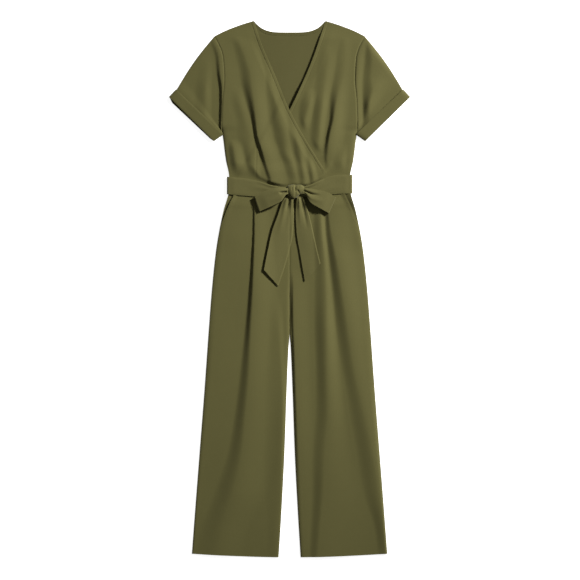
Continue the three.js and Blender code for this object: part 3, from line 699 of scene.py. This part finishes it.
sleeve_rows = np.concatenate([np.linspace(0, 1, 50), 1 + np.linspace(0.1, 1, 10)])
for hand, side in SIDES.items():
    form = (sleeve_rows, arm_place(side), sleeve_heights(hand))
    sleeve = flat_tube(f"sleeve_cloth_{hand}", *form, garment_crepe)
    lay(sleeve, f"sleeve_{hand}")

# Cuffs.
# A band of crepe is turned up on the end of each sleeve and pressed, so it stands a little above it.
CUFF_LINE = ((295, 519), (171.5, 401.5))
CUFF_END = ((313.5, 499), (196.5, 384))
CUFF_SWELL = 4.0
CUFF_ROLL = 14
CUFF_FALL = 0.5  # how much lower it is at its free edge
CUFF_RIM = (0.5, 0.06)  # depth to which its two long edges are pressed, and width as a part of its own
CUFF_RIPPLE = (0.3, 60, 13)
CUFF_SLIP = (-4.125, -3.63)  # how far the back of the left cuff has moved
CUFF_SLIP_INNER = 0.35  # part of it that is left at the inner end
CUFF_SLIP_ENDS = (0.12, 0.08)  # parts of its width over which the slip comes in at the outer and inner end


def cuff_place(side):
    def place(down, part):
        edges = zip(edge_points(CUFF_LINE, part), edge_points(CUFF_END, part))
        x, y = (mix(line, end, down) for line, end in edges)
        return side * x, y

    return place


def cuff_heights(x, y, down, distance, length):
    edge = rolled(np.minimum(distance, length - distance), CUFF_ROLL)
    rim = CUFF_RIM[0] * (bell(down / CUFF_RIM[1]) + bell((1 - down) / CUFF_RIM[1]))
    swell = CUFF_SWELL - CUFF_FALL * down + ripple(x, y, *CUFF_RIPPLE) - rim
    return 0 * x, edge * swell + LAYER * 2


def cuff_slip(down, part):
    """The back of the left cuff shows past its front, most near the outer corner."""
    outer, inner = CUFF_SLIP_ENDS
    reach = down * mix(1, CUFF_SLIP_INNER, part) * ease(part / outer) * ease((1 - part) / inner)
    return CUFF_SLIP[0] * reach, CUFF_SLIP[1] * reach


CUFF_BACKS = {"left": cuff_slip, "right": None}
cuff_rows = np.linspace(0, 1, 14)
for hand, side in SIDES.items():
    form = (cuff_rows, cuff_place(side), cuff_heights)
    cuff = flat_tube(f"cuff_band_{hand}", *form, garment_crepe, CUFF_BACKS[hand])
    lay(cuff, f"cuff_{hand}")

# Trouser backs.
# A wide leg panel each, lying flat under the front. It is sewn to it at the side seam and the inseam.
HEM_INSIDE = -697
HEM_OUTSIDE = -688
LEG_SIDE = {
    "y": [-697, -576, -420, -264, -108, -4, 100, 152, 204, 243, 262],
    "x": [254, 245, 233, 221, 210, 202, 191, 182.5, 171.5, 160, 156],
}
LEG_INSIDE = {"y": [-697, -576, -420, -264, -147, -115, 262], "x": [28.5, 21, 13, 7.5, 2.5, 0, 0]}
HEM_CURVE = 1.6  # how late across the leg the hem bends down


def hem_lift(level, across):
    """The hem is a little higher at the side seam than at the inseam, and the rows above it follow."""
    return (WAIST - level) / (WAIST - HEM_INSIDE) * (HEM_OUTSIDE - HEM_INSIDE) * across**HEM_CURVE


def side_line(level):
    return read(LEG_SIDE, "x", level)


def leg_panel(name, side, grid, outer_line, height):
    """A leg panel from the inseam out to a line, on a grid of so many rows and columns."""
    levels = np.linspace(WAIST - SEAM_GAP / 2, HEM_INSIDE, grid[0])[:, None]
    across = np.linspace(0, 1, grid[1])[None, :]
    x = side * mix(read(LEG_INSIDE, "x", levels), outer_line(levels), across)
    x, y = np.broadcast_arrays(x, levels + hem_lift(levels, across))
    return sheet(name, x, y, height(x, y), garment_crepe)


for hand, side in SIDES.items():
    panel = leg_panel(f"trouser_back_{hand}", side, (240, 50), side_line, lambda x, y: back_height(y))
    lay(panel, f"leg_back_{hand}")

# Pocket facings.
# A piece of the same crepe lies between the two layers of a leg and shows beyond the slanted pocket opening.
POCKET_EDGE = {"y": [165, 182, 213, 242, 262], "x": [179, 172, 160, 146, 136]}
POCKET_FOOT = 150
POCKET_UNDERLAP = 28
POCKET_RISE = {"left": 1.0, "right": 4.0}  # how far the side seam stands up beside the opening
POCKET_RISE_PART = (0.55, 0.45)  # part of the facing where that begins, and over what part
POCKET_RISE_ZONE = (185, 40)

for hand, side in SIDES.items():
    y = np.linspace(WAIST - SEAM_GAP / 2, POCKET_FOOT, 45)[:, None]
    across = np.linspace(0, 1, 20)[None, :]
    x, y = np.broadcast_arrays(mix(read(POCKET_EDGE, "x", y) - POCKET_UNDERLAP, side_line(y), across), y)
    rise = POCKET_RISE[hand] * rising(across, *POCKET_RISE_PART) * rising(y, *POCKET_RISE_ZONE)
    facing = sheet(f"pocket_cloth_{hand}", side * x, y, back_height(y) + LAYER + rise, garment_crepe)
    lay(facing, f"pocket_facing_{hand}")

# Trouser fronts.
# Each hangs from the waist seam with one pleat, a steep fold at the waist that opens out down the leg. Its
# outer edge near the waist is the pocket opening. Left and right lie differently, so each has its own folds.
LEG_SWELL = {"y": [-697, -520, -320, 262], "rise": [1.8, 2.4, 3.2, 3.2]}
LEG_LEVELS = [-697, -627, -523, -419, -315, -211, -107, -3, 75, 153, 200, 244]
LEG_FOLDS = {
    "left": [
        # the pleat
        fold(LEG_LEVELS, [-190, -180, -145, -123, -113, -104, -100, -95, -93, -91, -91, -92],
             [2.5, 4.5, 8, 8, 8, 8, 8, 7.5, 6, 4.4, 3.6, 3], [60, 55, 50, 38, 30, 26, 18, 12, 6, 4, 4, 4],
             [70, 75, 90, 90, 85, 80, 75, 70, 60, 50, 45, 40]),
        # fold beside the inseam
        fold([*LEG_LEVELS[:7], -20], [-38, -36, -24, -22, -19, -24, -29, -34],
             [0.6, 0.8, 1.7, 2.6, 3.0, 2.6, 1.9, 0], [20, 22, 44, 47, 46, 39, 26, 20],
             [20, 20, 18, 16, 14, 16, 16, 16]),
    ],
    "right": [
        # the pleat
        fold(LEG_LEVELS, [252, 246, 228, 213, 192, 169, 153, 137, 124, 108, 102, 100],
             [2.5, 3.9, 4.3, 5.2, 5.0, 5.5, 7.0, 8.0, 7.6, 4.6, 3.4, 2.6],
             [24, 26, 39, 42, 39, 34, 34, 31, 26, 16, 10, 8],
             [20, 22, 26, 34, 50, 58, 60, 62, 66, 64, 58, 46]),
        # the ridge inside it
        fold(LEG_LEVELS, [74, 79, 88, 92, 100, 97, 95, 93, 89, 82, 80, 79],
             [4.0, 5.0, 5.4, 4.8, 6.0, 6.6, 7.4, 5.2, 4.2, 4.6, 3.4, 2],
             [24, 26, 31, 34, 34, 31, 33, 31, 26, 23, 20, 18],
             [140, 136, 104, 70, 46, 37, 28, 22, 16, 13, 12, 12]),
        # the rounded inseam edge
        fold([-697, -576, -420, -264, -147, -60, 0, 50], [38, 30, 22, 16, 12, 9, 9, 8],
             [0.6, 1.2, 2.2, 3.0, 3.0, 3.0, 2.0, 0], [10, 10, 9, 8, 6, 5, 5, 6],
             [45, 45, 45, 45, 45, 45, 45, 45]),
    ],
}
LEG_RIPPLE = (0.45, 150, 17)
FACING_RAMP = 60  # over what length a front climbs onto the pocket facing
WAIST_ZONE = (1, 30)  # how far below the sash it begins to rise, and over what length
CENTRE_ZONE = (-40, 60)  # where the centre seam ends and the inseams roll down, counted down from y = 0
CENTRE_SHARE = 0.25  # part of that roll that the centre seam has
CENTRE_FURROW = (0.16, 1.6)  # its depth as a part of the height beside it, and its width
POCKET_LIP = 14  # how far in from the opening it gapes
POCKET_GAPE = {"y": [168, 196, 216, 240, 252], "rise": [0, 0.3, 1.0, 2.2, 2.4]}
LEG_ROLL = {  # how far in from its seams the front of a leg is level
    "y": [-697, -560, -419, -107, 262], "side": [3.5, 5, 9, 16, 16],
    "inside": [4, 6, 9, 10, 10],
}


def leg_height(x, y):
    """Lower face of a trouser front. Where no front lies, it carries on from the nearest one."""
    out = np.abs(x)
    past_pocket = out - read(POCKET_EDGE, "x", y)
    on_facing = rising(past_pocket, -POCKET_UNDERLAP - FACING_RAMP, FACING_RAMP)
    on_facing = on_facing * rising(y, POCKET_FOOT - FACING_RAMP, FACING_RAMP)
    slope = rising(read(SASH_EDGES, "bottom", x) - y, *WAIST_ZONE)
    open_leg = mix(CENTRE_SHARE, 1, rising(-y, *CENTRE_ZONE))
    inner_roll = mix(1, rolled(out - read(LEG_INSIDE, "x", y), read(LEG_ROLL, "inside", y)), open_leg)
    furrow = CENTRE_FURROW[0] * bell(out / CENTRE_FURROW[1]) * (1 - open_leg)
    between = rolled(side_line(y) - out, read(LEG_ROLL, "side", y)) * (inner_roll - furrow)
    folds = np.where(x < 0, folded(x, y, LEG_FOLDS["left"]), folded(x, y, LEG_FOLDS["right"]))
    bulk = settled(read(LEG_SWELL, "rise", y) + folds + ripple(x, y, *LEG_RIPPLE))
    gape = read(POCKET_GAPE, "rise", y) * ease(1 + past_pocket / POCKET_LIP)
    return back_height(y) + LAYER + LAYER * on_facing + slope * between * bulk + gape


def front_line(level):
    """Outer edge of a trouser front: the pocket opening, and the side seam below it."""
    return np.where(level > POCKET_EDGE["y"][0], read(POCKET_EDGE, "x", level), side_line(level))


for hand, side in SIDES.items():
    panel = leg_panel(f"trouser_front_{hand}", side, (320, 104), front_line, leg_height)
    lay(panel, f"leg_front_{hand}")

# Stitching.
# One row of machine stitches in matching polyester thread holds each turned edge: 8 mm in along the crossed
# edges and the back neck, 6 mm in at the pocket openings. Each stitch is a short rounded length of thread.
THREAD_LIGHT = (0.125, 0.114, 0.040, 1)
THREAD_DARK = (0.090, 0.082, 0.026, 1)
STITCH_PITCH = 3.2
STITCH_SIZE = (2.4, 0.7, 0.5)  # length, width and height of the thread that shows
POCKET_STITCH = 6
STITCHED = {  # where each row begins and ends, and the points that guide it
    "over": (300, 688, 260),
    "under": (474, 688, 150),
    "neck": (-78, 78, 90),
    "pocket": (170, 236, 50),
}
NECK_STITCH_RISE = 0.6  # height of the row on the back panel above its cloth


def stitch_nodes(material):
    """Geometry nodes that lay one stitch after the other along lines."""
    tree = bpy.data.node_groups.new("stitch_row", "GeometryNodeTree")
    for name, way in (("Lines", "INPUT"), ("Stitches", "OUTPUT")):
        tree.interface.new_socket(name, in_out=way, socket_type="NodeSocketGeometry")

    def step(kind, links, result="Geometry", **settings):
        return node(tree, kind, links, **settings).outputs[result]

    lines = step("NodeGroupInput", {}, "Lines")
    curve = step("GeometryNodeMeshToCurve", {"Mesh": lines}, "Curve")
    spacing = {"Curve": curve, "Length": STITCH_PITCH * MM}
    spaced = step("GeometryNodeResampleCurve", spacing, "Curve", mode="LENGTH")
    thread = step("GeometryNodeMeshUVSphere", {"Segments": 6, "Rings": 4, "Radius": 0.5}, "Mesh")
    size = tuple(side * MM for side in STITCH_SIZE)
    shaped = step("GeometryNodeTransform", {"Geometry": thread, "Scale": size})
    tangent = step("GeometryNodeInputTangent", {}, "Tangent")
    turned = step("FunctionNodeAlignRotationToVector", {"Vector": tangent}, "Rotation", axis="X")
    placing = {"Points": spaced, "Instance": shaped, "Rotation": turned}
    placed = step("GeometryNodeInstanceOnPoints", placing, "Instances")
    real = step("GeometryNodeRealizeInstances", {"Geometry": placed})
    painted = step("GeometryNodeSetMaterial", {"Geometry": real, "Material": material})
    node(tree, "NodeGroupOutput", {"Stitches": painted})
    return tree


def stitch_rows(name, lines, material):
    """Stitches along each of these lines of points, in millimetres, as one plain mesh."""
    points = np.concatenate(lines) * MM
    ends = np.cumsum([len(line) for line in lines])
    edges = [(index, index + 1) for index in range(len(points) - 1) if index + 1 not in ends]
    guide = bpy.data.meshes.new("stitch_lines")
    guide.from_pydata(points.tolist(), edges, [])
    guide_lines = add_object("stitch_lines", guide)
    guide_lines.modifiers.new("stitches", "NODES").node_group = stitch_nodes(material)
    seen = guide_lines.evaluated_get(bpy.context.evaluated_depsgraph_get())
    mesh = bpy.data.meshes.new_from_object(seen)
    bpy.data.objects.remove(guide_lines)
    mesh.polygons.foreach_set("use_smooth", [True] * len(mesh.polygons))
    return add_object(name, mesh)


over_y, under_y, neck_x, pocket_y = (np.linspace(*row) for row in STITCHED.values())
over_x = read(WRAP_EDGE, "x", over_y) - NECK_FACING
under_x = read(UNDER_EDGE, "x", under_y) + NECK_FACING
neck_y = NECK_POINT[1] - neck_drop(neck_x) - NECK_FACING
stitch_lines = [
    np.stack([over_x, over_y, over_height(over_x, over_y) + CLOTH], axis=-1),
    np.stack([under_x, under_y, under_height(under_x, under_y) + CLOTH], axis=-1),
    np.stack([neck_x, neck_y, np.full_like(neck_x, CLOTH + NECK_STITCH_RISE)], axis=-1),
]
for side in SIDES.values():
    pocket_x = side * (read(POCKET_EDGE, "x", pocket_y) - POCKET_STITCH)
    stitch_lines.append(np.stack([pocket_x, pocket_y, leg_height(pocket_x, pocket_y) + CLOTH], axis=-1))

sewing_thread = crepe("sewing_thread", THREAD_LIGHT, THREAD_DARK, 0.5)
stitching = stitch_rows("stitching", stitch_lines, sewing_thread)
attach(stitching, "root")

# Sash.
# One long strip of two plies of the same crepe. It runs from the knot round one side, under the back, round
# the other side and back to the knot. It is gathered towards the knot, where soft folds run into it.
SASH_FRONT = 7  # lower face of its front
SASH_TURN = 158.5  # where it turns round the side
SASH_JOIN = 16  # middle of the knot
SASH_ROLL = 0.1  # part of its width over which its edges roll down
SASH_PUFF = 0.7  # how far its face stands up inside them
SASH_RIPPLE = (0.25, 80, 21)
SASH_SPAN = 40  # its width, for the waves
SASH_FADE = 16  # how far in from the sides it lies flat
SASH_AREA = 0.0282  # square metres


def crease(at, part, rise, width):
    """A soft fold along a strip: its place and its width as parts of the strip's, and its rise."""
    return {"at": at, "part": part, "rise": rise, "width": width}


SASH_FOLDS = [
    crease([-110, -80, -40, -8], [0.52, 0.42, 0.4, 0.42], [0, 0.7, 1.2, 1.4], [0.16, 0.16, 0.18, 0.22]),
    crease([34, 50, 80, 118], [0.5, 0.48, 0.4, 0.36], [1.8, 1.6, 1.2, 0], [0.26, 0.22, 0.2, 0.2]),
    crease([34, 60, 90, 120, 150], [0.8, 0.78, 0.72, 0.66, 0.62], [1.4, 1.2, 1.0, 0.6, 0],
           [0.2, 0.16, 0.14, 0.14, 0.14]),
    # its upper edge stands up beside the knot
    crease([34, 50, 68, 90], [0.06, 0.06, 0.06, 0.06], [3, 3.4, 2.6, 0], [0.13, 0.13, 0.12, 0.1]),
    crease([-88, -60, -34, -8], [0.05, 0.05, 0.05, 0.05], [0, 1.6, 2.2, 2], [0.1, 0.12, 0.14, 0.14]),
]


def part_folds(folds, at, part):
    """Height of soft folds that run along a strip, each with its own place and width across it."""
    total = 0 * (at + part)
    for line in folds:
        shown = (at >= line["at"][0]) & (at <= line["at"][-1])
        spot = (part - read(line, "part", at)) / read(line, "width", at)
        total = total + np.where(shown, read(line, "rise", at), 0) * bell(spot)
    return total


def band():
    turn, middle = (SASH_FRONT - SASH_WALL) / 2, (SASH_FRONT + SASH_WALL) / 2
    part = np.linspace(0, 1, 18)[None, :]
    roll = ease(np.minimum(part, 1 - part) / SASH_ROLL)
    bend = np.linspace(0, math.pi, 12)[1:-1, None]
    under = np.linspace(-SASH_TURN, SASH_TURN, 60)[:, None]

    def face(radius, key):
        def rows(x, z, straight=False):
            edges = []
            for edge in ("top", "bottom"):
                ends = SASH_EDGES[edge]
                line = mix(ends[0], ends[-1], (x + SASH_TURN) / (2 * SASH_TURN))
                edges.append(line if straight else read(SASH_EDGES, edge, x))
            return np.stack(np.broadcast_arrays(x, mix(*edges, part), z), axis=-1)

        def front(first, last, count):
            x = np.linspace(first, last, count)[:, None]
            soft = roll * (SASH_PUFF + ripple(x, part * SASH_SPAN, *SASH_RIPPLE))
            puff = part_folds(SASH_FOLDS, x, part) + np.maximum(soft, 0)
            return rows(x, key + puff * ease((SASH_TURN - np.abs(x)) / SASH_FADE))

        def turned(side, angles):
            x = side * (SASH_TURN + np.abs(np.sin(angles)) * radius)
            return rows(x, middle + np.cos(angles) * radius)

        left = [front(SASH_JOIN - SEAM_GAP / 2, -SASH_TURN, 90), turned(-1, bend)]
        right = [turned(1, bend[::-1]), front(SASH_TURN, SASH_JOIN + SEAM_GAP / 2, 80)]
        return np.concatenate([*left, rows(under, middle - radius, straight=True), *right])

    inner, outer = face(turn, SASH_FRONT), face(turn + SASH_WALL, SASH_FRONT + SASH_WALL)
    return shell("sash_strip", inner, outer, sash_crepe_painted_lit)


sash_strip = lay((band(), SASH_AREA), "sash_band")

# Tails.
# The two free ends of the strip hang from under the knot over the trouser fronts and are cut at a slant.
# Each is creased where it comes out of the knot.
TAIL_ROOT = SASH_FRONT + SASH_LAYER
DRAPE_GAP = 0.7
TAILS = {
    "left": {
        "at": [0, 1, 2, 3, 4, 5, 6], "near_x": [-6, -17, -31, -46, -57, -62, -66.5],
        "near_y": [244, 229, 190, 148, 97, 73, 50], "far_x": [11, 10, 11, 8.6, -2.4, -12.5, -29.5],
        "far_y": [242, 227, 190, 143, 92, 56, 7.5],
    },
    "right": {
        "at": [0, 1, 2, 3, 4, 5], "near_x": [20, 18.5, 16, 18, 28, 39.5],
        "near_y": [244, 227, 195, 148, 88, 20], "far_x": [33, 39, 49, 61, 71, 80.5],
        "far_y": [246, 229, 200, 150, 105, 66],
    },
}
TAIL_ARCH = 1.6  # how far its middle stands up
TAIL_RIPPLE = (0.3, 60, 23)
TAIL_WIDE = 0.92  # part of it that has wide columns
TAIL_RIM = 0.94  # part of its width where its right edge begins to roll down
TAIL_SINK = {"trousers": (1.4, 0.4), "sash": 0.2}  # how deep a crease can go, and what its arch adds
TAIL_CLIMB = (207, 24)  # level where a tail begins to climb onto the sash, and over what length
GATHER_SWELL = 2.2  # how far a tail stands up where it is gathered below the knot
KNOT_FOOT = (232, 7)  # level where a tail goes under the knot, and over what length
EDGE_ROLL = 1.3  # how far the right edge of a tail rolls down
TAIL_LIFT = {"left": (4.4, 0.8), "right": (1.0, 2.2)}  # how far its left and right edges stand up
TAIL_FOLDS = {
    "left": [
        crease([0.3, 0.8, 1.2, 1.7], [0.56, 0.56, 0.53, 0.5], [0, -3.6, -3.0, 0], [0.1, 0.12, 0.1, 0.08]),
        crease([0, 1, 2, 3.2], [0.28, 0.3, 0.34, 0.36], [1.8, 2.4, 1.6, 0], [0.2, 0.16, 0.14, 0.12]),
        crease([0, 1, 2, 2.8], [0.84, 0.82, 0.76, 0.74], [1.6, 2.2, 1.2, 0], [0.14, 0.12, 0.12, 0.1]),
    ],
    "right": [
        crease([0, 1, 2, 2.9], [0.58, 0.62, 0.66, 0.66], [-2.4, -3.4, -2.4, 0], [0.18, 0.14, 0.12, 0.1]),
        crease([0, 1, 2, 2.8], [0.26, 0.3, 0.3, 0.3], [1.6, 1.8, 1.0, 0], [0.14, 0.14, 0.12, 0.1]),
    ],
}


def strip_plan(table, at, part):
    """Plan of a strip between its near and its far edge, from left to right or from the top down."""
    edges = ([read(table, f"{edge}_{axis}", at) for edge in ("near", "far")] for axis in "xy")
    return [mix(near, far, part) for near, far in edges]


def tail(hand):
    at = np.linspace(0, TAILS[hand]["at"][-1], 120)[:, None]
    part = np.concatenate([np.linspace(0, TAIL_WIDE, 32), np.linspace(TAIL_RIM, 1, 5)])[None, :]
    x, y = strip_plan(TAILS[hand], at, part)
    lift = TAIL_LIFT[hand][0] * (1 - part) ** 2 + TAIL_LIFT[hand][1] * part**3
    arch = TAIL_ARCH * np.sin(math.pi * part) + lift + ripple(x, y, *TAIL_RIPPLE)
    lying = leg_height(x, y) + CLOTH + DRAPE_GAP + arch
    root = rising(y, *TAIL_CLIMB)
    sink, arch_share = TAIL_SINK["trousers"]
    deepest = mix(-sink - arch * arch_share, -TAIL_SINK["sash"], root)
    gathered = part_folds(TAIL_FOLDS[hand], at, part) + GATHER_SWELL * root
    rim = EDGE_ROLL * rising(part, TAIL_RIM, 1 - TAIL_RIM)
    soft = np.maximum(gathered, deepest) * (1 - rising(y, *KNOT_FOOT))
    z = mix(lying, TAIL_ROOT, root) + soft - rim * (1 - root)
    return sheet(f"tail_{hand}", x, y, z, sash_crepe_painted_lit, SASH_WALL)


for hand in SIDES:
    lay(tail(hand), f"sash_tail_{hand}")

# Loops.
# The strip runs out from the knot, turns at the end of the loop and comes back on top. A loop rests on the
# sash and stands off the trousers at its lower edge.
LOOP_GAP = 0.1
LOOP_ROOT = TAIL_ROOT + SASH_LAYER + LOOP_GAP
LOOP_ARCH = 0.2
LOOP_LEAST = 0.3  # least gap between its two layers
LOOP_TIP = (3.2, 0.8)  # where its upper layer levels off towards the turn
LOOPS = {
    "left": {
        "at": [0, 1, 2, 3, 4], "near_x": [4, -8, -36, -64, -89],
        "near_y": [261, 262, 263, 254, 240], "far_x": [4, -8, -20, -46, -76],
        "far_y": [247, 245, 229, 215, 202], "rise": [0.4, 3.0, 5.4, 4.8, 3.0],
        "drop": [0, 0, 0.4, 1.2, 2.0],
        "tilt": (0.95, 0.45),
    },
    "right": {
        "at": [0, 1, 2, 3, 4], "near_x": [28, 40, 68, 98, 118],
        "near_y": [261, 262, 258, 251, 239], "far_x": [28, 40, 54, 76, 100],
        "far_y": [247, 246, 225, 211, 198], "rise": [0.4, 2.6, 4.8, 4.8, 1.8],
        "drop": [0, 0, 0.4, 1.4, 2.2],
        "tilt": (0.85, 0.35),
    },
}
LOOP_FOLDS = {
    "left": [
        crease([0.85, 1.15, 1.6, 1.95], [0.66, 0.6, 0.5, 0.42], [0, -4.4, -4.6, 0], [0.12, 0.12, 0.1, 0.07]),
        crease([0.6, 1.2, 2.2, 3.2], [0.3, 0.3, 0.28, 0.26], [0.6, 1.4, 0.8, 0], [0.16, 0.14, 0.12, 0.1]),
        crease([0.8, 1.4, 2.2, 3.0], [0.86, 0.82, 0.76, 0.7], [0.8, 1.4, 0.9, 0], [0.14, 0.14, 0.14, 0.12]),
    ],
    "right": [
        crease([0.7, 1.1, 1.5, 2.1, 2.6], [0.56, 0.55, 0.5, 0.38, 0.3], [-1, -3.2, -3.6, -2.0, 0],
               [0.1, 0.09, 0.08, 0.07, 0.06]),
        crease([0.8, 1.2, 1.8, 2.6], [0.25, 0.25, 0.22, 0.2], [0.6, 1.4, 1.2, 0], [0.14, 0.14, 0.12, 0.1]),
        crease([1, 1.5, 2.2, 3.2], [0.8, 0.77, 0.68, 0.56], [0.6, 1.5, 1.4, 0], [0.16, 0.16, 0.16, 0.12]),
    ],
}


def loop(hand):
    table = LOOPS[hand]
    part = np.linspace(0, 1, 26)[None, :]
    last = table["at"][-1]
    out = np.linspace(0, last, 60)[:, None]
    back = out[::-1]
    tip = np.full((1, 1), last)

    def level(at):
        return LOOP_ROOT - read(table, "drop", at) + 0 * part

    tip_x, tip_y = strip_plan(table, tip, part)
    before_x, before_y = strip_plan(table, tip - 1, part)
    heading = np.array([np.mean(tip_x - before_x), np.mean(tip_y - before_y)])
    heading = heading / np.linalg.norm(heading)
    radius = read(table, "rise", last) / 2
    turns = np.linspace(-math.pi / 2, math.pi / 2, 12)[1:-1][:, None]
    tilt = table["tilt"][0] + table["tilt"][1] * part + LOOP_ARCH * np.sin(math.pi * part)
    upper = read(table, "rise", back) * mix(tilt, 1, rising(back, *LOOP_TIP))
    upper = np.maximum(upper + part_folds(LOOP_FOLDS[hand], back, part), LOOP_LEAST)

    def face(wall, first, second):
        reach = (radius + wall) * np.cos(turns)
        z = level(tip) + SASH_WALL + radius + (radius + wall) * np.sin(turns)
        rows = [
            (*strip_plan(table, out, part), level(out) + first),
            (tip_x + heading[0] * reach, tip_y + heading[1] * reach, z),
            (*strip_plan(table, back, part), level(back) + second + upper),
        ]
        return np.concatenate([np.stack(row, axis=-1) for row in rows])

    inner = face(0, SASH_WALL, SASH_WALL)
    outer = face(SASH_WALL, 0, 2 * SASH_WALL)
    return shell(f"loop_{hand}", inner, outer, sash_crepe_painted_lit), 2 * plan_area(*strip_plan(table, out, part))


for hand in SIDES:
    lay(loop(hand), f"sash_loop_{hand}")

# Knot.
# One turn of the strip, pulled tight over the roots of the loops and tails. It is gathered into two lobes.
KNOT = {
    "x": [-6, -2, 4, 10, 16, 20, 26, 32, 38], "top": [266, 269, 270.5, 271.5, 270, 270.5, 271, 270, 266],
    "bottom": [247, 242, 236.5, 233.5, 235.5, 239.5, 244.5, 249, 254],
    "crown": [17.8, 20.4, 22.4, 22.8, 21.4, 22.0, 22.0, 20.8, 18.0],
}
# lean is how far a crease moves to the right down the turn, and start and stop are parts of the turn
KNOT_CREASES = [
    {"x": 8.0, "lean": -3, "start": -0.2, "stop": 0.5, "depth": 1.3, "width": 0.9},
    {"x": 14.0, "lean": 2, "start": -0.2, "stop": 0.55, "depth": 1.8, "width": 1.5},
    {"x": 13.5, "lean": 14, "start": 0.35, "stop": 1.2, "depth": 2.0, "width": 2.4},
    {"x": 25.0, "lean": 2, "start": -0.2, "stop": 0.4, "depth": 0.7, "width": 1.6},
]
CREASE_FADE = 0.15  # over what part of the turn a crease comes in
CREASE_ROUND = 0.5  # power of the sine along the turn: how soon a crease is deep
KNOT_ROUND = 0.6  # the same for the height of the knot
KNOT_AREA = 0.0023


def knot():
    x = np.linspace(KNOT["x"][0], KNOT["x"][-1], 100)[:, None]
    angle = np.linspace(0, math.pi, 64)[None, :]
    down = (1 - np.cos(angle)) / 2
    depth = 0
    for line in KNOT_CREASES:
        off = x - line["x"] - line["lean"] * down
        shown = rising(down, line["start"], CREASE_FADE) * ease((line["stop"] - down) / CREASE_FADE)
        depth = depth + line["depth"] * shown * bell(off / line["width"])

    def face(inset):
        top, bottom = read(KNOT, "top", x), read(KNOT, "bottom", x)
        half = (top - bottom) / 2 - inset
        crown = read(KNOT, "crown", x) - inset - depth * np.sin(angle) ** CREASE_ROUND
        z = mix(mix(TAIL_ROOT, LOOP_ROOT, angle / math.pi), crown, np.sin(angle) ** KNOT_ROUND)
        return np.stack([x + 0 * angle, (top + bottom) / 2 + half * np.cos(angle), z], axis=-1)

    return shell("knot", face(SASH_WALL), face(0), sash_crepe_painted_lit)


lay((knot(), KNOT_AREA), "sash_knot")
